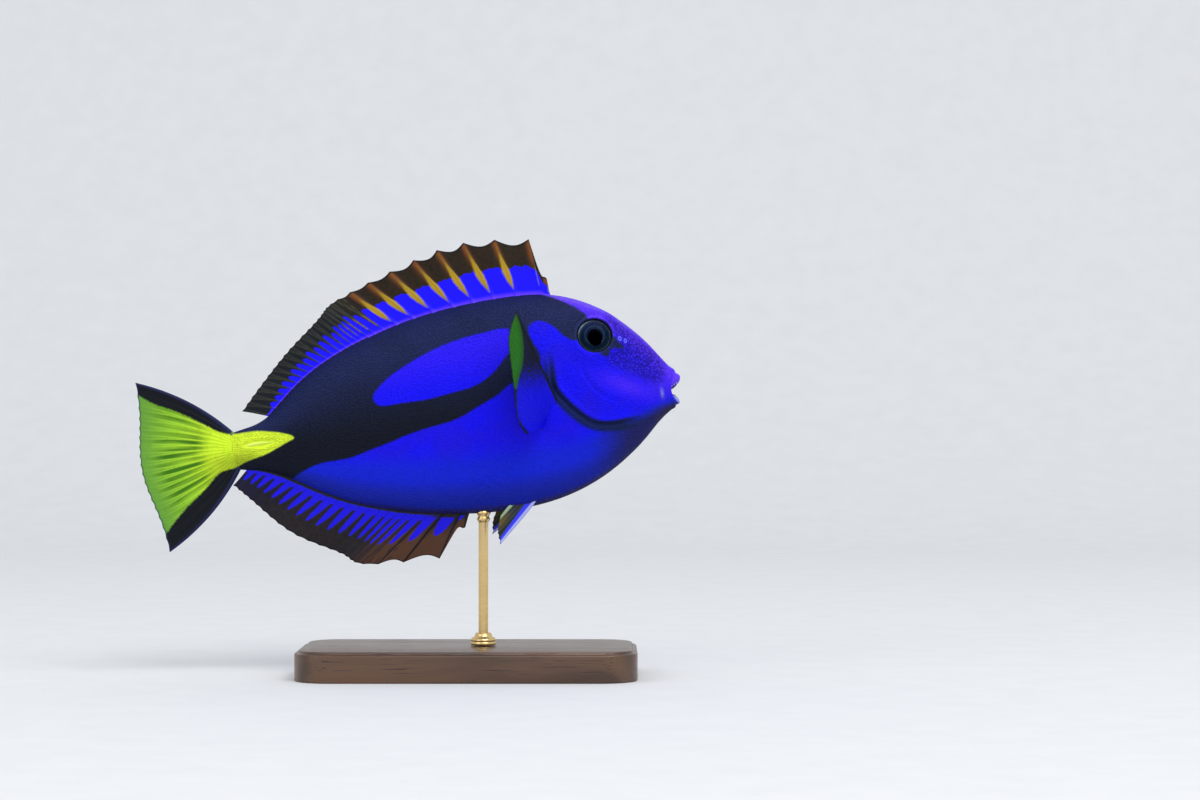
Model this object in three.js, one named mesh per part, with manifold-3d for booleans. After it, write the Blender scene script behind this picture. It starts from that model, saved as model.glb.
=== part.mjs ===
// Regal blue tang, a life-size still model of the swimming fish on a plain display stand.
// Units are millimetres and +Z is up. The origin is the middle of the stand's underside.
// The fish is drawn level in its own frame: x runs forward from the tail base, y to its left and z up.
// The fish's group then pitches it nose up and lifts it onto the rod.
import * as THREE from "three";
import { mergeVertices } from "three/addons/utils/BufferGeometryUtils.js";
import Module from "manifold-3d";

const wasm = await Module();
wasm.setup();

// Driving sizes of the whole model
const PITCH = THREE.MathUtils.degToRad(7.8);
const GAP = 0.3;
const BELLY_HEIGHT = 54;

// The body's slices, from the tail base forward to the lips. A slice hangs between a point of the back
// line and one of the belly line, so slices lean over towards the mouth.
const BACK_LINE = [
  [-1.6, 5.4], [3.2, 6.5], [9.8, 8.3], [17.7, 13.8], [27.8, 21.8], [42.1, 28.8], [59.6, 34.3],
  [76.8, 37.2], [93.6, 38.2], [108.9, 37.2], [120.9, 33.1], [129.8, 27.3], [137.4, 19.9],
  [142.2, 13.7], [145.6, 8.9], [147.9, 6.3], [149.3, 3.9],
];
const BELLY_LINE = [
  [-2.2, -5.6], [2.0, -6.9], [8.9, -8.4], [16.5, -11.7], [25.1, -16.8], [37.1, -22.8], [51.9, -27.6],
  [66.6, -30.6], [81.5, -32.0], [96.9, -31.7], [110.6, -28.9], [122.7, -23.6], [133.4, -16.2],
  [139.9, -10.2], [144.2, -6.9], [146.6, -5.4], [148.1, -4.0],
];
const HALF_WIDTH = [1.5, 2.7, 3.5, 4.9, 6.6, 8.6, 10.1, 10.9, 11.3, 11.4, 11.0, 9.9, 7.6, 5.6, 4.1, 3.3, 2.3];
// How pointed a slice is along the back: 1 is an ellipse, more is a keel and less is boxy
const BACK_KEEL = [1, 1, 1.05, 1.1, 1.15, 1.2, 1.2, 1.2, 1.15, 1.05, 0.92, 0.84, 0.84, 0.9, 0.95, 1, 1];
const BELLY_KEEL = 1.02;
// The widest level of a slice, as a share of its height above the middle
const WIDEST_RISE = 0.05;
// The sides of the lips lie this far behind their tips, and the mouth's hollow this far behind the lips
const MOUTH_SETBACK = 3.4;
const MOUTH_HOLLOW = 3.0;
const TAIL_CAP = 1.2;
const LIP_SLICES = 3;
const SLICES = 38;
const SLICE_SIDES = 26;

// The tail is swung to the fish's right in a slow swimming bend
const BEND_START = 66;
const BEND_REACH = 100;
const BEND_SWING = 6;

// Cut lines between the flesh pieces, in side view
const GILL_OPENING = [
  [110.5, 44], [109.3, 36], [107.8, 24], [107.0, 14], [107.4, 8], [109.4, 2.6], [113.8, -3.2],
  [119.0, -7.6], [124.2, -11.5], [127.6, -17], [130.5, -26],
];
const COVER_FRONT = [
  [102.5, 20.6], [106.5, 21.6], [110.3, 20.6], [114.5, 15.5],
  [117.0, 7.5], [120.5, 0.5], [126.5, -4.8], [133.5, -8.2],
];
const COVER_FOOT = [[134.4, -8.2], [128, -9.6], [118, -12.6]];
const COVER_REAR = [102.5, -12.6];
const COVER_DEPTH = 5.2;
const TAIL_CUT = 19;
const SNOUT_CUT = [[148.4, 12], [145.6, 6.5], [143.6, 0.4], [143.9, -5], [145.6, -11]];
const MOUTH_CUT = [[143.5, 0.3], [152, -0.4]];
const MOUTH_CUT_WIDTH = 0.7;
const CUT_REACH = 40;
const CUT_HEIGHT = 60;

// Eyes
const EYE_CENTRE = [122.8, 20.9];
const EYE_RADIUS = 6;
const EYE_DOME = 3.4;
const EYE_STAND_OUT = 1.5;
const EYE_ROLL = THREE.MathUtils.degToRad(15);
const EYE_TURN = THREE.MathUtils.degToRad(8);

// Fin rays. Each fin is set by a few rays: [ray number, base x, tip x, tip z].
const DORSAL_SPINES = 9;
const DORSAL_RAYS = 29;
const DORSAL_FIRST = [1, 110.0, 109.8, 42.4];
const DORSAL_KEY_RAYS = [
  [2, 107.8, 105.7, 56.2], [4, 92.6, 84.0, 57.9], [6, 79.6, 66.8, 54.4], [9, 60.7, 44.6, 46.8],
  [14, 47.0, 34.2, 40.7], [19, 36.6, 24.6, 32.7], [24, 26.2, 14.0, 23.0], [29, 15.4, 4.1, 12.5],
];
const ANAL_SPINES = 3;
const ANAL_RAYS = 22;
const ANAL_FIRST = [1, 74.2, 71.7, -35.8];
const ANAL_KEY_RAYS = [
  [2, 72.0, 62.0, -44.9], [3, 67.0, 50.0, -44.5], [8, 50.5, 31.4, -39.9], [13, 34.0, 16.4, -30.9],
  [18, 18.5, 4.4, -18.8], [22, 6.0, -2.0, -11.6],
];
const SPINE_SCALLOP = 2.1;
const FIRST_SCALLOP = 5.6;
const FIN_ROOT_DEPTH = 2.6;
const FIN_ROOT_THICKNESS = 1.7;
const FIN_EDGE_THICKNESS = 0.55;
const RAY_RIDGE = 0.35;
const FIN_ROWS = 3;

// The tail fin is a fan about an apex just inside the tail base
const TAIL_APEX = [3.6, -0.1];
const TAIL_COLUMNS = 24;
const TAIL_DROOP = THREE.MathUtils.degToRad(3.5);
const TAIL_HALF_SPREAD = THREE.MathUtils.degToRad(42.3);
const TAIL_RAY_CURVE = THREE.MathUtils.degToRad(18);
const TAIL_MIDDLE_REACH = 34.8;
const TAIL_TIP_REACH = 42;
const TAIL_TIP_SHARPNESS = 3.6;
const TAIL_ROOT_SHARE = 0.12;
const TAIL_ROOT_THICKNESS = 4.2;
const TAIL_EDGE_RAY = 0.5;

// Paired fins, drawn for the right side: the left ones are mirrored. A key ray of the pectoral fin is its
// place along the root, its angle above backward in side view, its length there and how far its tip flares.
const PECTORAL_ROOT = [[107.4, 1.0], [102.8, -5.7]];
const PECTORAL_KEY_RAYS = [
  [0, 75, 32.5, 10], [0.3, 66, 26.4, 15], [0.6, 56.5, 17.7, 16], [0.8, 35, 11.3, 15], [1, -16, 6.6, 11],
];
const PECTORAL_COLUMNS = 14;
const PECTORAL_ROOT_THICKNESS = 1.3;
const PECTORAL_BURIED = 1.2;
const PECTORAL_SIDE = [0.62, -0.72, -0.3];
const PELVIC_ROOT = [[97.0, -29.0], [89.0, -29.4]];
const PELVIC_TIPS = [[82.8, -42.4], [82.6, -38.0], [84.2, -33.4]];
const PELVIC_BASE_OUT = 1.9;
const PELVIC_FLARE = 3.6;
const PELVIC_SPINE_THICKNESS = 0.9;
const LEFT_PELVIC_FOLD = THREE.MathUtils.degToRad(12);

// The blade on each side of the tail base
const BLADE_CENTRE = [8.6, 0.9];
const BLADE_HALF = [4.9, 0.8, 1.0];
const BLADE_TURN = THREE.MathUtils.degToRad(5);

// Stand
const BASE_SIZE = [112, 58, 10];
const BASE_CORNER = 12;
const BASE_BEVEL = 1.2;
const ROD_RADIUS = 1.6;
const ROD_AT_FISH_X = 78.5;
const ROD_X = 5;
const ROD_DEPTH_IN_FISH = 7;
const ROD_DEPTH_IN_BASE = 6;
const ROD_SIDES = 24;
const COLLAR_RADIUS = 4.2;
const COLLAR_HEIGHT = 4;

// A natural cubic spline through (knot, value) pairs, as a function
function splineThrough(knots, values) {
  const count = knots.length;
  const bend = new Array(count).fill(0);
  const carried = new Array(count).fill(0);
  for (let i = 1; i < count - 1; i += 1) {
    const before = knots[i] - knots[i - 1];
    const after = knots[i + 1] - knots[i];
    const pull = 6 * ((values[i + 1] - values[i]) / after - (values[i] - values[i - 1]) / before);
    const weight = 2 * (before + after) - before * carried[i - 1];
    carried[i] = after / weight;
    bend[i] = (pull - before * bend[i - 1]) / weight;
  }
  for (let i = count - 2; i > 0; i -= 1) bend[i] -= carried[i] * bend[i + 1];
  return (at) => {
    let i = 0;
    while (i < count - 2 && at > knots[i + 1]) i += 1;
    const step = knots[i + 1] - knots[i];
    const far = (at - knots[i]) / step;
    const near = 1 - far;
    const curve = ((near ** 3 - near) * bend[i] + (far ** 3 - far) * bend[i + 1]) * (step * step) / 6;
    return near * values[i] + far * values[i + 1] + curve;
  };
}

const stations = BACK_LINE.map((_, i) => i);
const lastStation = stations.length - 1;
const backX = splineThrough(stations, BACK_LINE.map((p) => p[0]));
const backZ = splineThrough(stations, BACK_LINE.map((p) => p[1]));
const bellyX = splineThrough(stations, BELLY_LINE.map((p) => p[0]));
const bellyZ = splineThrough(stations, BELLY_LINE.map((p) => p[1]));
const halfWidth = splineThrough(stations, HALF_WIDTH);
const backKeel = splineThrough(stations, BACK_KEEL);

// The sideways swing of the body at x
function swing(x) {
  const share = Math.max(0, (BEND_START - x) / BEND_REACH);
  return -BEND_SWING * share * share;
}

// How far the sides of a slice lie behind its chord: nothing, up to the mouth's corners
function sideSetback(station) {
  const share = Math.max(0, (station - (lastStation - LIP_SLICES)) / LIP_SLICES);
  return MOUTH_SETBACK * share * share;
}

// A point of the body's skin. The angle runs from the back over the left flank to the belly and round.
function bodyPoint(station, angle, grow = 0) {
  const up = new THREE.Vector2(backX(station) - bellyX(station), backZ(station) - bellyZ(station));
  const height = up.length() + 2 * grow;
  up.normalize();
  const level = Math.cos(angle);
  const across = Math.sin(angle);
  const keel = level > 0 ? backKeel(station) : BELLY_KEEL;
  const share = level / 2 + WIDEST_RISE * (1 - level * level);
  const middleX = (backX(station) + bellyX(station)) / 2;
  const middleZ = (backZ(station) + bellyZ(station)) / 2;
  const x = middleX + up.x * height * share - sideSetback(station) * across * across;
  const z = middleZ + up.y * height * share;
  const y = (halfWidth(station) + grow) * Math.sign(across) * Math.abs(across) ** keel;
  return new THREE.Vector3(x, y + swing(x), z);
}

// The body's height at x along the back or the belly line
function lineHeight(lineX, lineZ, x) {
  let low = 0;
  let high = lastStation;
  for (let i = 0; i < 40; i += 1) {
    const middle = (low + high) / 2;
    if (lineX(middle) < x) low = middle;
    else high = middle;
  }
  return lineZ((low + high) / 2);
}

// The left flank's skin point nearest to (x, z) in side view
function flankPoint(x, z) {
  const steps = 160;
  let best = null;
  let bestDistance = Infinity;
  for (let i = 0; i <= steps; i += 1) {
    for (let j = 1; j < steps / 2; j += 1) {
      const point = bodyPoint((i / steps) * lastStation, (j / (steps / 2)) * Math.PI);
      const distance = (point.x - x) ** 2 + (point.z - z) ** 2;
      if (distance < bestDistance) {
        bestDistance = distance;
        best = point;
      }
    }
  }
  return best;
}

// Solids from geometry, and geometry from solids
function solidOf(geometry) {
  const bare = geometry.clone();
  bare.deleteAttribute("normal");
  bare.deleteAttribute("uv");
  const merged = mergeVertices(bare, 1e-4);
  return new wasm.Manifold(
    new wasm.Mesh({
      numProp: 3,
      vertProperties: new Float32Array(merged.attributes.position.array),
      triVerts: new Uint32Array(merged.index.array),
    }),
  );
}

function geometryOf(solid) {
  const mesh = solid.getMesh();
  const geometry = new THREE.BufferGeometry();
  geometry.setAttribute("position", new THREE.BufferAttribute(mesh.vertProperties, 3));
  geometry.setIndex(new THREE.BufferAttribute(mesh.triVerts, 1));
  geometry.computeVertexNormals();
  return geometry;
}

function indexedGeometry(points, faces) {
  const geometry = new THREE.BufferGeometry();
  geometry.setAttribute("position", new THREE.Float32BufferAttribute(points.flatMap((p) => p.toArray()), 3));
  geometry.setIndex(faces.flat());
  return geometry;
}

// The whole body as one closed loft with a hollow at the mouth
function bodySolid(grow = 0) {
  const points = [];
  for (let i = 0; i <= SLICES; i += 1) {
    for (let j = 0; j < SLICE_SIDES; j += 1) {
      points.push(bodyPoint((i / SLICES) * lastStation, (j / SLICE_SIDES) * 2 * Math.PI, grow));
    }
  }
  const faces = [];
  for (let i = 0; i < SLICES; i += 1) {
    for (let j = 0; j < SLICE_SIDES; j += 1) {
      const a = i * SLICE_SIDES + j;
      const b = i * SLICE_SIDES + ((j + 1) % SLICE_SIDES);
      faces.push([a, b + SLICE_SIDES, b], [a, a + SLICE_SIDES, b + SLICE_SIDES]);
    }
  }
  const tailX = backX(0) - grow - TAIL_CAP;
  const tailEnd = points.push(new THREE.Vector3(tailX, swing(tailX), 0)) - 1;
  const mouthX = backX(lastStation) - MOUTH_HOLLOW + grow;
  const mouthEnd = points.push(new THREE.Vector3(mouthX, 0, 0)) - 1;
  const lastRing = SLICES * SLICE_SIDES;
  for (let j = 0; j < SLICE_SIDES; j += 1) {
    const next = (j + 1) % SLICE_SIDES;
    faces.push([tailEnd, j, next], [mouthEnd, lastRing + next, lastRing + j]);
  }
  return solidOf(indexedGeometry(points, faces));
}

// A smooth line through side-view points, as a list of close points
function smoothLine(points, steps = 24) {
  const corners = points.map(([x, z]) => new THREE.Vector3(x, 0, z));
  const curve = new THREE.CatmullRomCurve3(corners, false, "centripetal");
  return curve.getPoints(steps).map((p) => [p.x, p.z]);
}

// A prism across the fish, from y = from to y = to, over a closed side-view outline
function prism(outline, from, to) {
  const shape = new THREE.Shape(outline.map(([x, z]) => new THREE.Vector2(x, z)));
  const geometry = new THREE.ExtrudeGeometry(shape, { depth: to - from, bevelEnabled: false });
  geometry.rotateX(Math.PI / 2);
  geometry.translate(0, to, 0);
  return solidOf(geometry);
}

// A thin curtain across the fish along a side-view line, to part it with
function kerf(line, from, to, width = GAP) {
  const sides = [[], []];
  line.forEach(([x, z], i) => {
    const [ax, az] = line[Math.max(0, i - 1)];
    const [bx, bz] = line[Math.min(line.length - 1, i + 1)];
    const length = Math.hypot(bx - ax, bz - az);
    const shiftX = (-(bz - az) / length) * (width / 2);
    const shiftZ = ((bx - ax) / length) * (width / 2);
    sides[0].push([x + shiftX, z + shiftZ]);
    sides[1].push([x - shiftX, z - shiftZ]);
  });
  return prism([...sides[0], ...sides[1].reverse()], from, to);
}

// The largest piece of a solid, without the crumbs that a cut can leave
function largest(solid) {
  return solid.decompose().sort((a, b) => b.volume() - a.volume())[0];
}

// The piece of a parted solid whose centre is the nearest to x in side view
function pieceNear(pieces, x, z) {
  const distance = (piece) => {
    const box = piece.boundingBox();
    return Math.hypot((box.min[0] + box.max[0]) / 2 - x, (box.min[2] + box.max[2]) / 2 - z);
  };
  return pieces.slice().sort((a, b) => distance(a) - distance(b))[0];
}

// A closed plate about a middle surface. middle(u, v) gives its points and thickness(u, v) its depth
// along the side direction. u runs along the columns given, and v from the root at 0 to the edge at 1.
function plate(columns, rows, middle, thickness, side = new THREE.Vector3(0, 1, 0)) {
  const points = [];
  const width = rows + 1;
  const sheet = columns.length * width;
  for (const sign of [1, -1]) {
    for (const u of columns) {
      for (let j = 0; j <= rows; j += 1) {
        const v = j / rows;
        points.push(middle(u, v).addScaledVector(side, (sign * thickness(u, v)) / 2));
      }
    }
  }
  const faces = [];
  const quad = (a, b, c, d) => faces.push([a, b, c], [a, c, d]);
  const last = columns.length - 1;
  for (let i = 0; i < last; i += 1) {
    for (let j = 0; j < rows; j += 1) {
      const a = i * width + j;
      quad(a, a + 1, a + 1 + width, a + width);
      quad(sheet + a, sheet + a + width, sheet + a + 1 + width, sheet + a + 1);
    }
    const root = i * width;
    quad(root, root + width, root + width + sheet, root + sheet);
    const edge = root + rows;
    quad(edge, edge + sheet, edge + width + sheet, edge + width);
  }
  for (let j = 0; j < rows; j += 1) {
    quad(j, j + sheet, j + 1 + sheet, j + 1);
    const end = last * width + j;
    quad(end, end + 1, end + 1 + sheet, end + sheet);
  }
  const solid = solidOf(indexedGeometry(points, faces));
  return solid.volume() < 0 ? solidOf(indexedGeometry(points, faces.map(([a, b, c]) => [a, c, b]))) : solid;
}

// Ray numbers to draw a fin's columns at: four to a space between spines, one to a soft ray
function rayColumns(spines, rays) {
  const columns = [];
  for (let ray = 1; ray < rays; ray += 1) {
    const parts = ray < spines ? 4 : 1;
    for (let part = 0; part < parts; part += 1) columns.push(ray + part / parts);
  }
  columns.push(rays);
  return columns;
}

// A fin along the back or belly, from its key rays, its first short spine and the body line that it stands on
function medianFin(firstRay, keyRays, spines, rays, rootHeight, inward) {
  const numbers = keyRays.map((ray) => ray[0]);
  const tracks = [1, 2, 3].map((i) => splineThrough(numbers, keyRays.map((ray) => ray[i])));
  const rayAt = (number) => {
    if (number >= numbers[0]) return tracks.map((track) => track(number));
    const share = number - firstRay[0];
    return [1, 2, 3].map((i) => firstRay[i] * (1 - share) + keyRays[0][i] * share);
  };
  const notchAt = (number) => {
    const across = number % 1;
    if (number < 2) return FIRST_SCALLOP * Math.sin(Math.PI * across ** 1.3);
    const spiny = Math.max(0, 1 - (Math.floor(number) - 2) / (spines - 1));
    return SPINE_SCALLOP * Math.min(1, 1.4 * spiny) * Math.sin(Math.PI * across);
  };
  const middle = (number, v) => {
    const [baseX, tipX, tipZ] = rayAt(number);
    const root = new THREE.Vector2(baseX, rootHeight(baseX) + inward * FIN_ROOT_DEPTH);
    const tip = new THREE.Vector2(tipX, tipZ);
    tip.addScaledVector(root.clone().sub(tip).normalize(), notchAt(number));
    const at = root.lerp(tip, v);
    return new THREE.Vector3(at.x, swing(at.x), at.y);
  };
  const thickness = (number, v) => {
    const ridge = RAY_RIDGE * (1 - v) * Math.abs(Math.cos(Math.PI * number));
    return FIN_ROOT_THICKNESS + (FIN_EDGE_THICKNESS - FIN_ROOT_THICKNESS) * v ** 0.6 + ridge;
  };
  return plate(rayColumns(spines, rays), FIN_ROWS, middle, thickness);
}

// The tail fin's fan. u runs from the lower edge at -1 to the upper edge at 1.
function tailFin() {
  const columns = [];
  for (let i = 0; i <= TAIL_COLUMNS; i += 1) columns.push((2 * i) / TAIL_COLUMNS - 1);
  const middle = (u, v) => {
    const tipShare = Math.abs(u) ** TAIL_TIP_SHARPNESS;
    const reach = TAIL_MIDDLE_REACH + (TAIL_TIP_REACH - TAIL_MIDDLE_REACH) * tipShare;
    const share = TAIL_ROOT_SHARE + (1 - TAIL_ROOT_SHARE) * v;
    const angle = u * (TAIL_HALF_SPREAD + TAIL_RAY_CURVE * (1 - share)) - TAIL_DROOP;
    const x = TAIL_APEX[0] - reach * share * Math.cos(angle);
    return new THREE.Vector3(x, swing(x), TAIL_APEX[1] + reach * share * Math.sin(angle));
  };
  const thickness = (u, v) => {
    const taper = (TAIL_ROOT_THICKNESS - FIN_EDGE_THICKNESS) * (1 - v) ** 3.2;
    const edgeRay = TAIL_EDGE_RAY * Math.abs(u) ** 6 * (1 - v);
    return FIN_EDGE_THICKNESS + taper * (1 - 0.5 * u * u) + edgeRay;
  };
  return plate(columns, FIN_ROWS + 1, middle, thickness);
}

// A right pectoral fin, held up and out from the flank as in a slow stroke
function pectoralFin() {
  const [upper, lower] = PECTORAL_ROOT;
  const rootY = [upper, lower].map(([x, z]) => PECTORAL_BURIED - flankPoint(x, z).y);
  const places = PECTORAL_KEY_RAYS.map((ray) => ray[0]);
  const track = (i) => splineThrough(places, PECTORAL_KEY_RAYS.map((ray) => ray[i]));
  const [angleAt, lengthAt, flareAt] = [1, 2, 3].map(track);
  const columns = [];
  for (let i = 0; i <= PECTORAL_COLUMNS; i += 1) columns.push(i / PECTORAL_COLUMNS);
  const middle = (u, v) => {
    const rootX = upper[0] + (lower[0] - upper[0]) * u;
    const rootZ = upper[1] + (lower[1] - upper[1]) * u;
    const out = rootY[0] + (rootY[1] - rootY[0]) * u;
    const angle = THREE.MathUtils.degToRad(angleAt(u));
    const run = lengthAt(u) * v;
    return new THREE.Vector3(
      rootX - run * Math.cos(angle),
      out - (flareAt(u) + PECTORAL_BURIED) * v ** 0.85,
      rootZ + run * Math.sin(angle),
    );
  };
  const thickness = (u, v) =>
    PECTORAL_ROOT_THICKNESS + (FIN_EDGE_THICKNESS - PECTORAL_ROOT_THICKNESS) * Math.sqrt(v);
  return plate(columns, FIN_ROWS, middle, thickness, new THREE.Vector3(...PECTORAL_SIDE).normalize());
}

// A right pelvic fin: a stout spine in front and a short web behind it
function pelvicFin() {
  const [front, rear] = PELVIC_ROOT;
  const columns = [0, 0.25, 0.5, 0.75, 1];
  const tipX = splineThrough([0, 0.5, 1], PELVIC_TIPS.map((p) => p[0]));
  const tipZ = splineThrough([0, 0.5, 1], PELVIC_TIPS.map((p) => p[1]));
  const middle = (u, v) => {
    const root = new THREE.Vector3(
      front[0] + (rear[0] - front[0]) * u,
      -PELVIC_BASE_OUT,
      front[1] + (rear[1] - front[1]) * u,
    );
    return root.lerp(new THREE.Vector3(tipX(u), -PELVIC_BASE_OUT - PELVIC_FLARE, tipZ(u)), v);
  };
  const thickness = (u, v) =>
    FIN_EDGE_THICKNESS + (PELVIC_SPINE_THICKNESS * (1 - u) ** 2 + RAY_RIDGE) * (1 - v);
  return plate(columns, FIN_ROWS, middle, thickness);
}

// An eyeball, flattened across, sunk in the head so that its dome stands a little proud
function eyeSolid(sign, grow = 0) {
  const flank = flankPoint(...EYE_CENTRE);
  const ball = new THREE.SphereGeometry(1, 16, 9);
  ball.rotateX(Math.PI / 2);
  ball.scale(EYE_RADIUS + grow, EYE_DOME + grow, EYE_RADIUS + grow);
  ball.rotateX(sign * EYE_ROLL);
  ball.rotateZ(-sign * EYE_TURN);
  ball.translate(EYE_CENTRE[0], sign * (flank.y + EYE_STAND_OUT - EYE_DOME), EYE_CENTRE[1]);
  return solidOf(ball);
}

// The folded blade on the side of the tail base
function bladeSolid(sign, grow = 0) {
  const flank = flankPoint(...BLADE_CENTRE);
  const halfHere = flank.y - swing(flank.x);
  const blade = new THREE.SphereGeometry(1, 10, 6);
  blade.scale(BLADE_HALF[0] + grow, BLADE_HALF[1] + grow, BLADE_HALF[2] + grow);
  blade.rotateZ(sign * BLADE_TURN);
  blade.translate(flank.x, swing(flank.x) + sign * halfHere, BLADE_CENTRE[1]);
  return solidOf(blade);
}

const mirror = (solid) => solid.mirror([0, 1, 0]);

// Looks for a plain viewer
const blue = new THREE.MeshStandardMaterial({ color: 0x1418e0, roughness: 0.45, metalness: 0 });
const deepBlue = new THREE.MeshStandardMaterial({ color: 0x10128c, roughness: 0.5, metalness: 0 });
const black = new THREE.MeshStandardMaterial({ color: 0x101830, roughness: 0.5, metalness: 0 });
const yellow = new THREE.MeshStandardMaterial({ color: 0xb8d820, roughness: 0.5, metalness: 0 });
const green = new THREE.MeshStandardMaterial({ color: 0x3a6a20, roughness: 0.5, metalness: 0 });
const eyeDark = new THREE.MeshStandardMaterial({ color: 0x0a0f18, roughness: 0.1, metalness: 0 });
const wood = new THREE.MeshStandardMaterial({ color: 0x4a2f1d, roughness: 0.5, metalness: 0 });
const brass = new THREE.MeshStandardMaterial({ color: 0xb08d4a, roughness: 0.3, metalness: 1 });

const model = new THREE.Group();
const fish = new THREE.Group();
model.add(fish);

function addNode(group, name, solid, material) {
  const mesh = new THREE.Mesh(geometryOf(solid), material);
  mesh.name = name;
  group.add(mesh);
}

// The fish stands on the rod: the belly point over the rod comes to ROD_X and BELLY_HEIGHT
const bellyPoint = new THREE.Vector3(ROD_AT_FISH_X, 0, lineHeight(bellyX, bellyZ, ROD_AT_FISH_X));
fish.rotation.y = -PITCH;
bellyPoint.applyEuler(fish.rotation);
fish.position.set(ROD_X - bellyPoint.x, 0, BELLY_HEIGHT - bellyPoint.z);
fish.updateMatrix();

// Stand
const baseShape = new THREE.Shape();
const [baseLength, baseWidth, baseHeight] = BASE_SIZE;
const halfLength = baseLength / 2 - BASE_BEVEL;
const halfBreadth = baseWidth / 2 - BASE_BEVEL;
const corners = [[1, 1, 0], [-1, 1, 1], [-1, -1, 2], [1, -1, 3]];
for (const [alongX, alongY, quarter] of corners) {
  const centreX = alongX * (halfLength - BASE_CORNER);
  const centreY = alongY * (halfBreadth - BASE_CORNER);
  const start = (quarter * Math.PI) / 2;
  baseShape.absarc(centreX, centreY, BASE_CORNER, start, start + Math.PI / 2, false);
}
const baseGeometry = new THREE.ExtrudeGeometry(baseShape, {
  depth: baseHeight - 2 * BASE_BEVEL,
  bevelThickness: BASE_BEVEL,
  bevelSize: BASE_BEVEL,
  bevelSegments: 2,
  curveSegments: 5,
});
baseGeometry.translate(0, 0, BASE_BEVEL);

// A post along Z from one height to another
function post(radius, from, to) {
  const geometry = new THREE.CylinderGeometry(radius, radius, to - from, ROD_SIDES);
  geometry.rotateX(Math.PI / 2);
  geometry.translate(ROD_X, 0, (from + to) / 2);
  return solidOf(geometry);
}
const rodFoot = baseHeight - ROD_DEPTH_IN_BASE;
const rodTop = BELLY_HEIGHT + ROD_DEPTH_IN_FISH;
const rod = post(ROD_RADIUS, rodFoot, rodTop);
const rodSleeve = post(ROD_RADIUS + GAP, rodFoot - GAP, rodTop + GAP);
const collar = post(COLLAR_RADIUS, baseHeight + GAP, baseHeight + GAP + COLLAR_HEIGHT);
addNode(model, "stand_base", solidOf(baseGeometry).subtract(rodSleeve), wood);
addNode(model, "stand_collar", collar.subtract(rodSleeve), brass);
addNode(model, "stand_rod", rod, brass);

// Flesh: the whole body, parted with thin cuts
const worldToFish = fish.matrix.clone().invert();
const rodHole = solidOf(geometryOf(rodSleeve).applyMatrix4(worldToFish));
const body = bodySolid();
const grownBody = bodySolid(GAP);
const gillLine = smoothLine(GILL_OPENING);
const parted = body
  .subtract(kerf(gillLine, -CUT_REACH, CUT_REACH))
  .subtract(kerf([[TAIL_CUT, -CUT_HEIGHT], [TAIL_CUT, CUT_HEIGHT]], -CUT_REACH, CUT_REACH))
  .subtract(kerf(smoothLine(SNOUT_CUT, 8), -CUT_REACH, CUT_REACH))
  .subtract(kerf(MOUTH_CUT, -CUT_REACH, CUT_REACH, MOUTH_CUT_WIDTH))
  .subtract(rodHole)
  .decompose();
const tail = pieceNear(parted, 9, 1);
const trunk = pieceNear(parted, 70, 3);
const wholeHead = pieceNear(parted, 127, 5);
const upperJaw = pieceNear(parted, 147, 5);
const lowerJaw = pieceNear(parted, 146, -4);

// Gill covers: a plate on each cheek, between the cheek line and the gill opening
const coverFront = smoothLine(COVER_FRONT);
const pocketOutline = [...coverFront, ...COVER_FOOT.slice(1), COVER_REAR];
const coverPocket = prism(pocketOutline, COVER_DEPTH - GAP, CUT_REACH);
const coverKerf = kerf(coverFront, 0, CUT_REACH, 2 * GAP)
  .add(kerf(COVER_FOOT, 0, CUT_REACH, 2 * GAP))
  .add(prism(pocketOutline, 0, COVER_DEPTH));
const coverBlock = coverPocket.subtract(coverKerf);
const leftCover = largest(wholeHead.intersect(coverBlock));
const rightCover = largest(wholeHead.intersect(mirror(coverBlock)));
let head = wholeHead.subtract(coverPocket).subtract(mirror(coverPocket));
head = largest(head.subtract(eyeSolid(1, GAP)).subtract(eyeSolid(-1, GAP)));

addNode(fish, "head", head, blue);
addNode(fish, "gill_cover_left", leftCover, blue);
addNode(fish, "gill_cover_right", rightCover, blue);
addNode(fish, "jaw_upper", upperJaw, blue);
addNode(fish, "jaw_lower", lowerJaw, blue);
addNode(fish, "trunk", trunk, black);
addNode(fish, "tail_base", largest(tail.subtract(bladeSolid(1, GAP)).subtract(bladeSolid(-1, GAP))), black);
addNode(fish, "eye_left", eyeSolid(1), eyeDark);
addNode(fish, "eye_right", eyeSolid(-1), eyeDark);
addNode(fish, "tail_blade_left", bladeSolid(1), yellow);
addNode(fish, "tail_blade_right", bladeSolid(-1), yellow);

// Fins, each trimmed to the body's surface
const dorsalRoot = (x) => lineHeight(backX, backZ, x);
const analRoot = (x) => lineHeight(bellyX, bellyZ, x);
const trimmed = (fin) => largest(fin.subtract(grownBody));
const dorsal = medianFin(DORSAL_FIRST, DORSAL_KEY_RAYS, DORSAL_SPINES, DORSAL_RAYS, dorsalRoot, -1);
const anal = medianFin(ANAL_FIRST, ANAL_KEY_RAYS, ANAL_SPINES, ANAL_RAYS, analRoot, 1);
addNode(fish, "dorsal_fin", trimmed(dorsal), deepBlue);
addNode(fish, "anal_fin", trimmed(anal), deepBlue);
addNode(fish, "tail_fin", trimmed(tailFin()), yellow);
const pectoral = pectoralFin();
addNode(fish, "pectoral_fin_right", trimmed(pectoral), green);
addNode(fish, "pectoral_fin_left", trimmed(mirror(pectoral)), green);
const pelvic = pelvicFin();
const [[pelvicX, pelvicZ]] = PELVIC_ROOT;
const foldedPelvic = geometryOf(mirror(pelvic)).translate(-pelvicX, 0, -pelvicZ);
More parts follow.
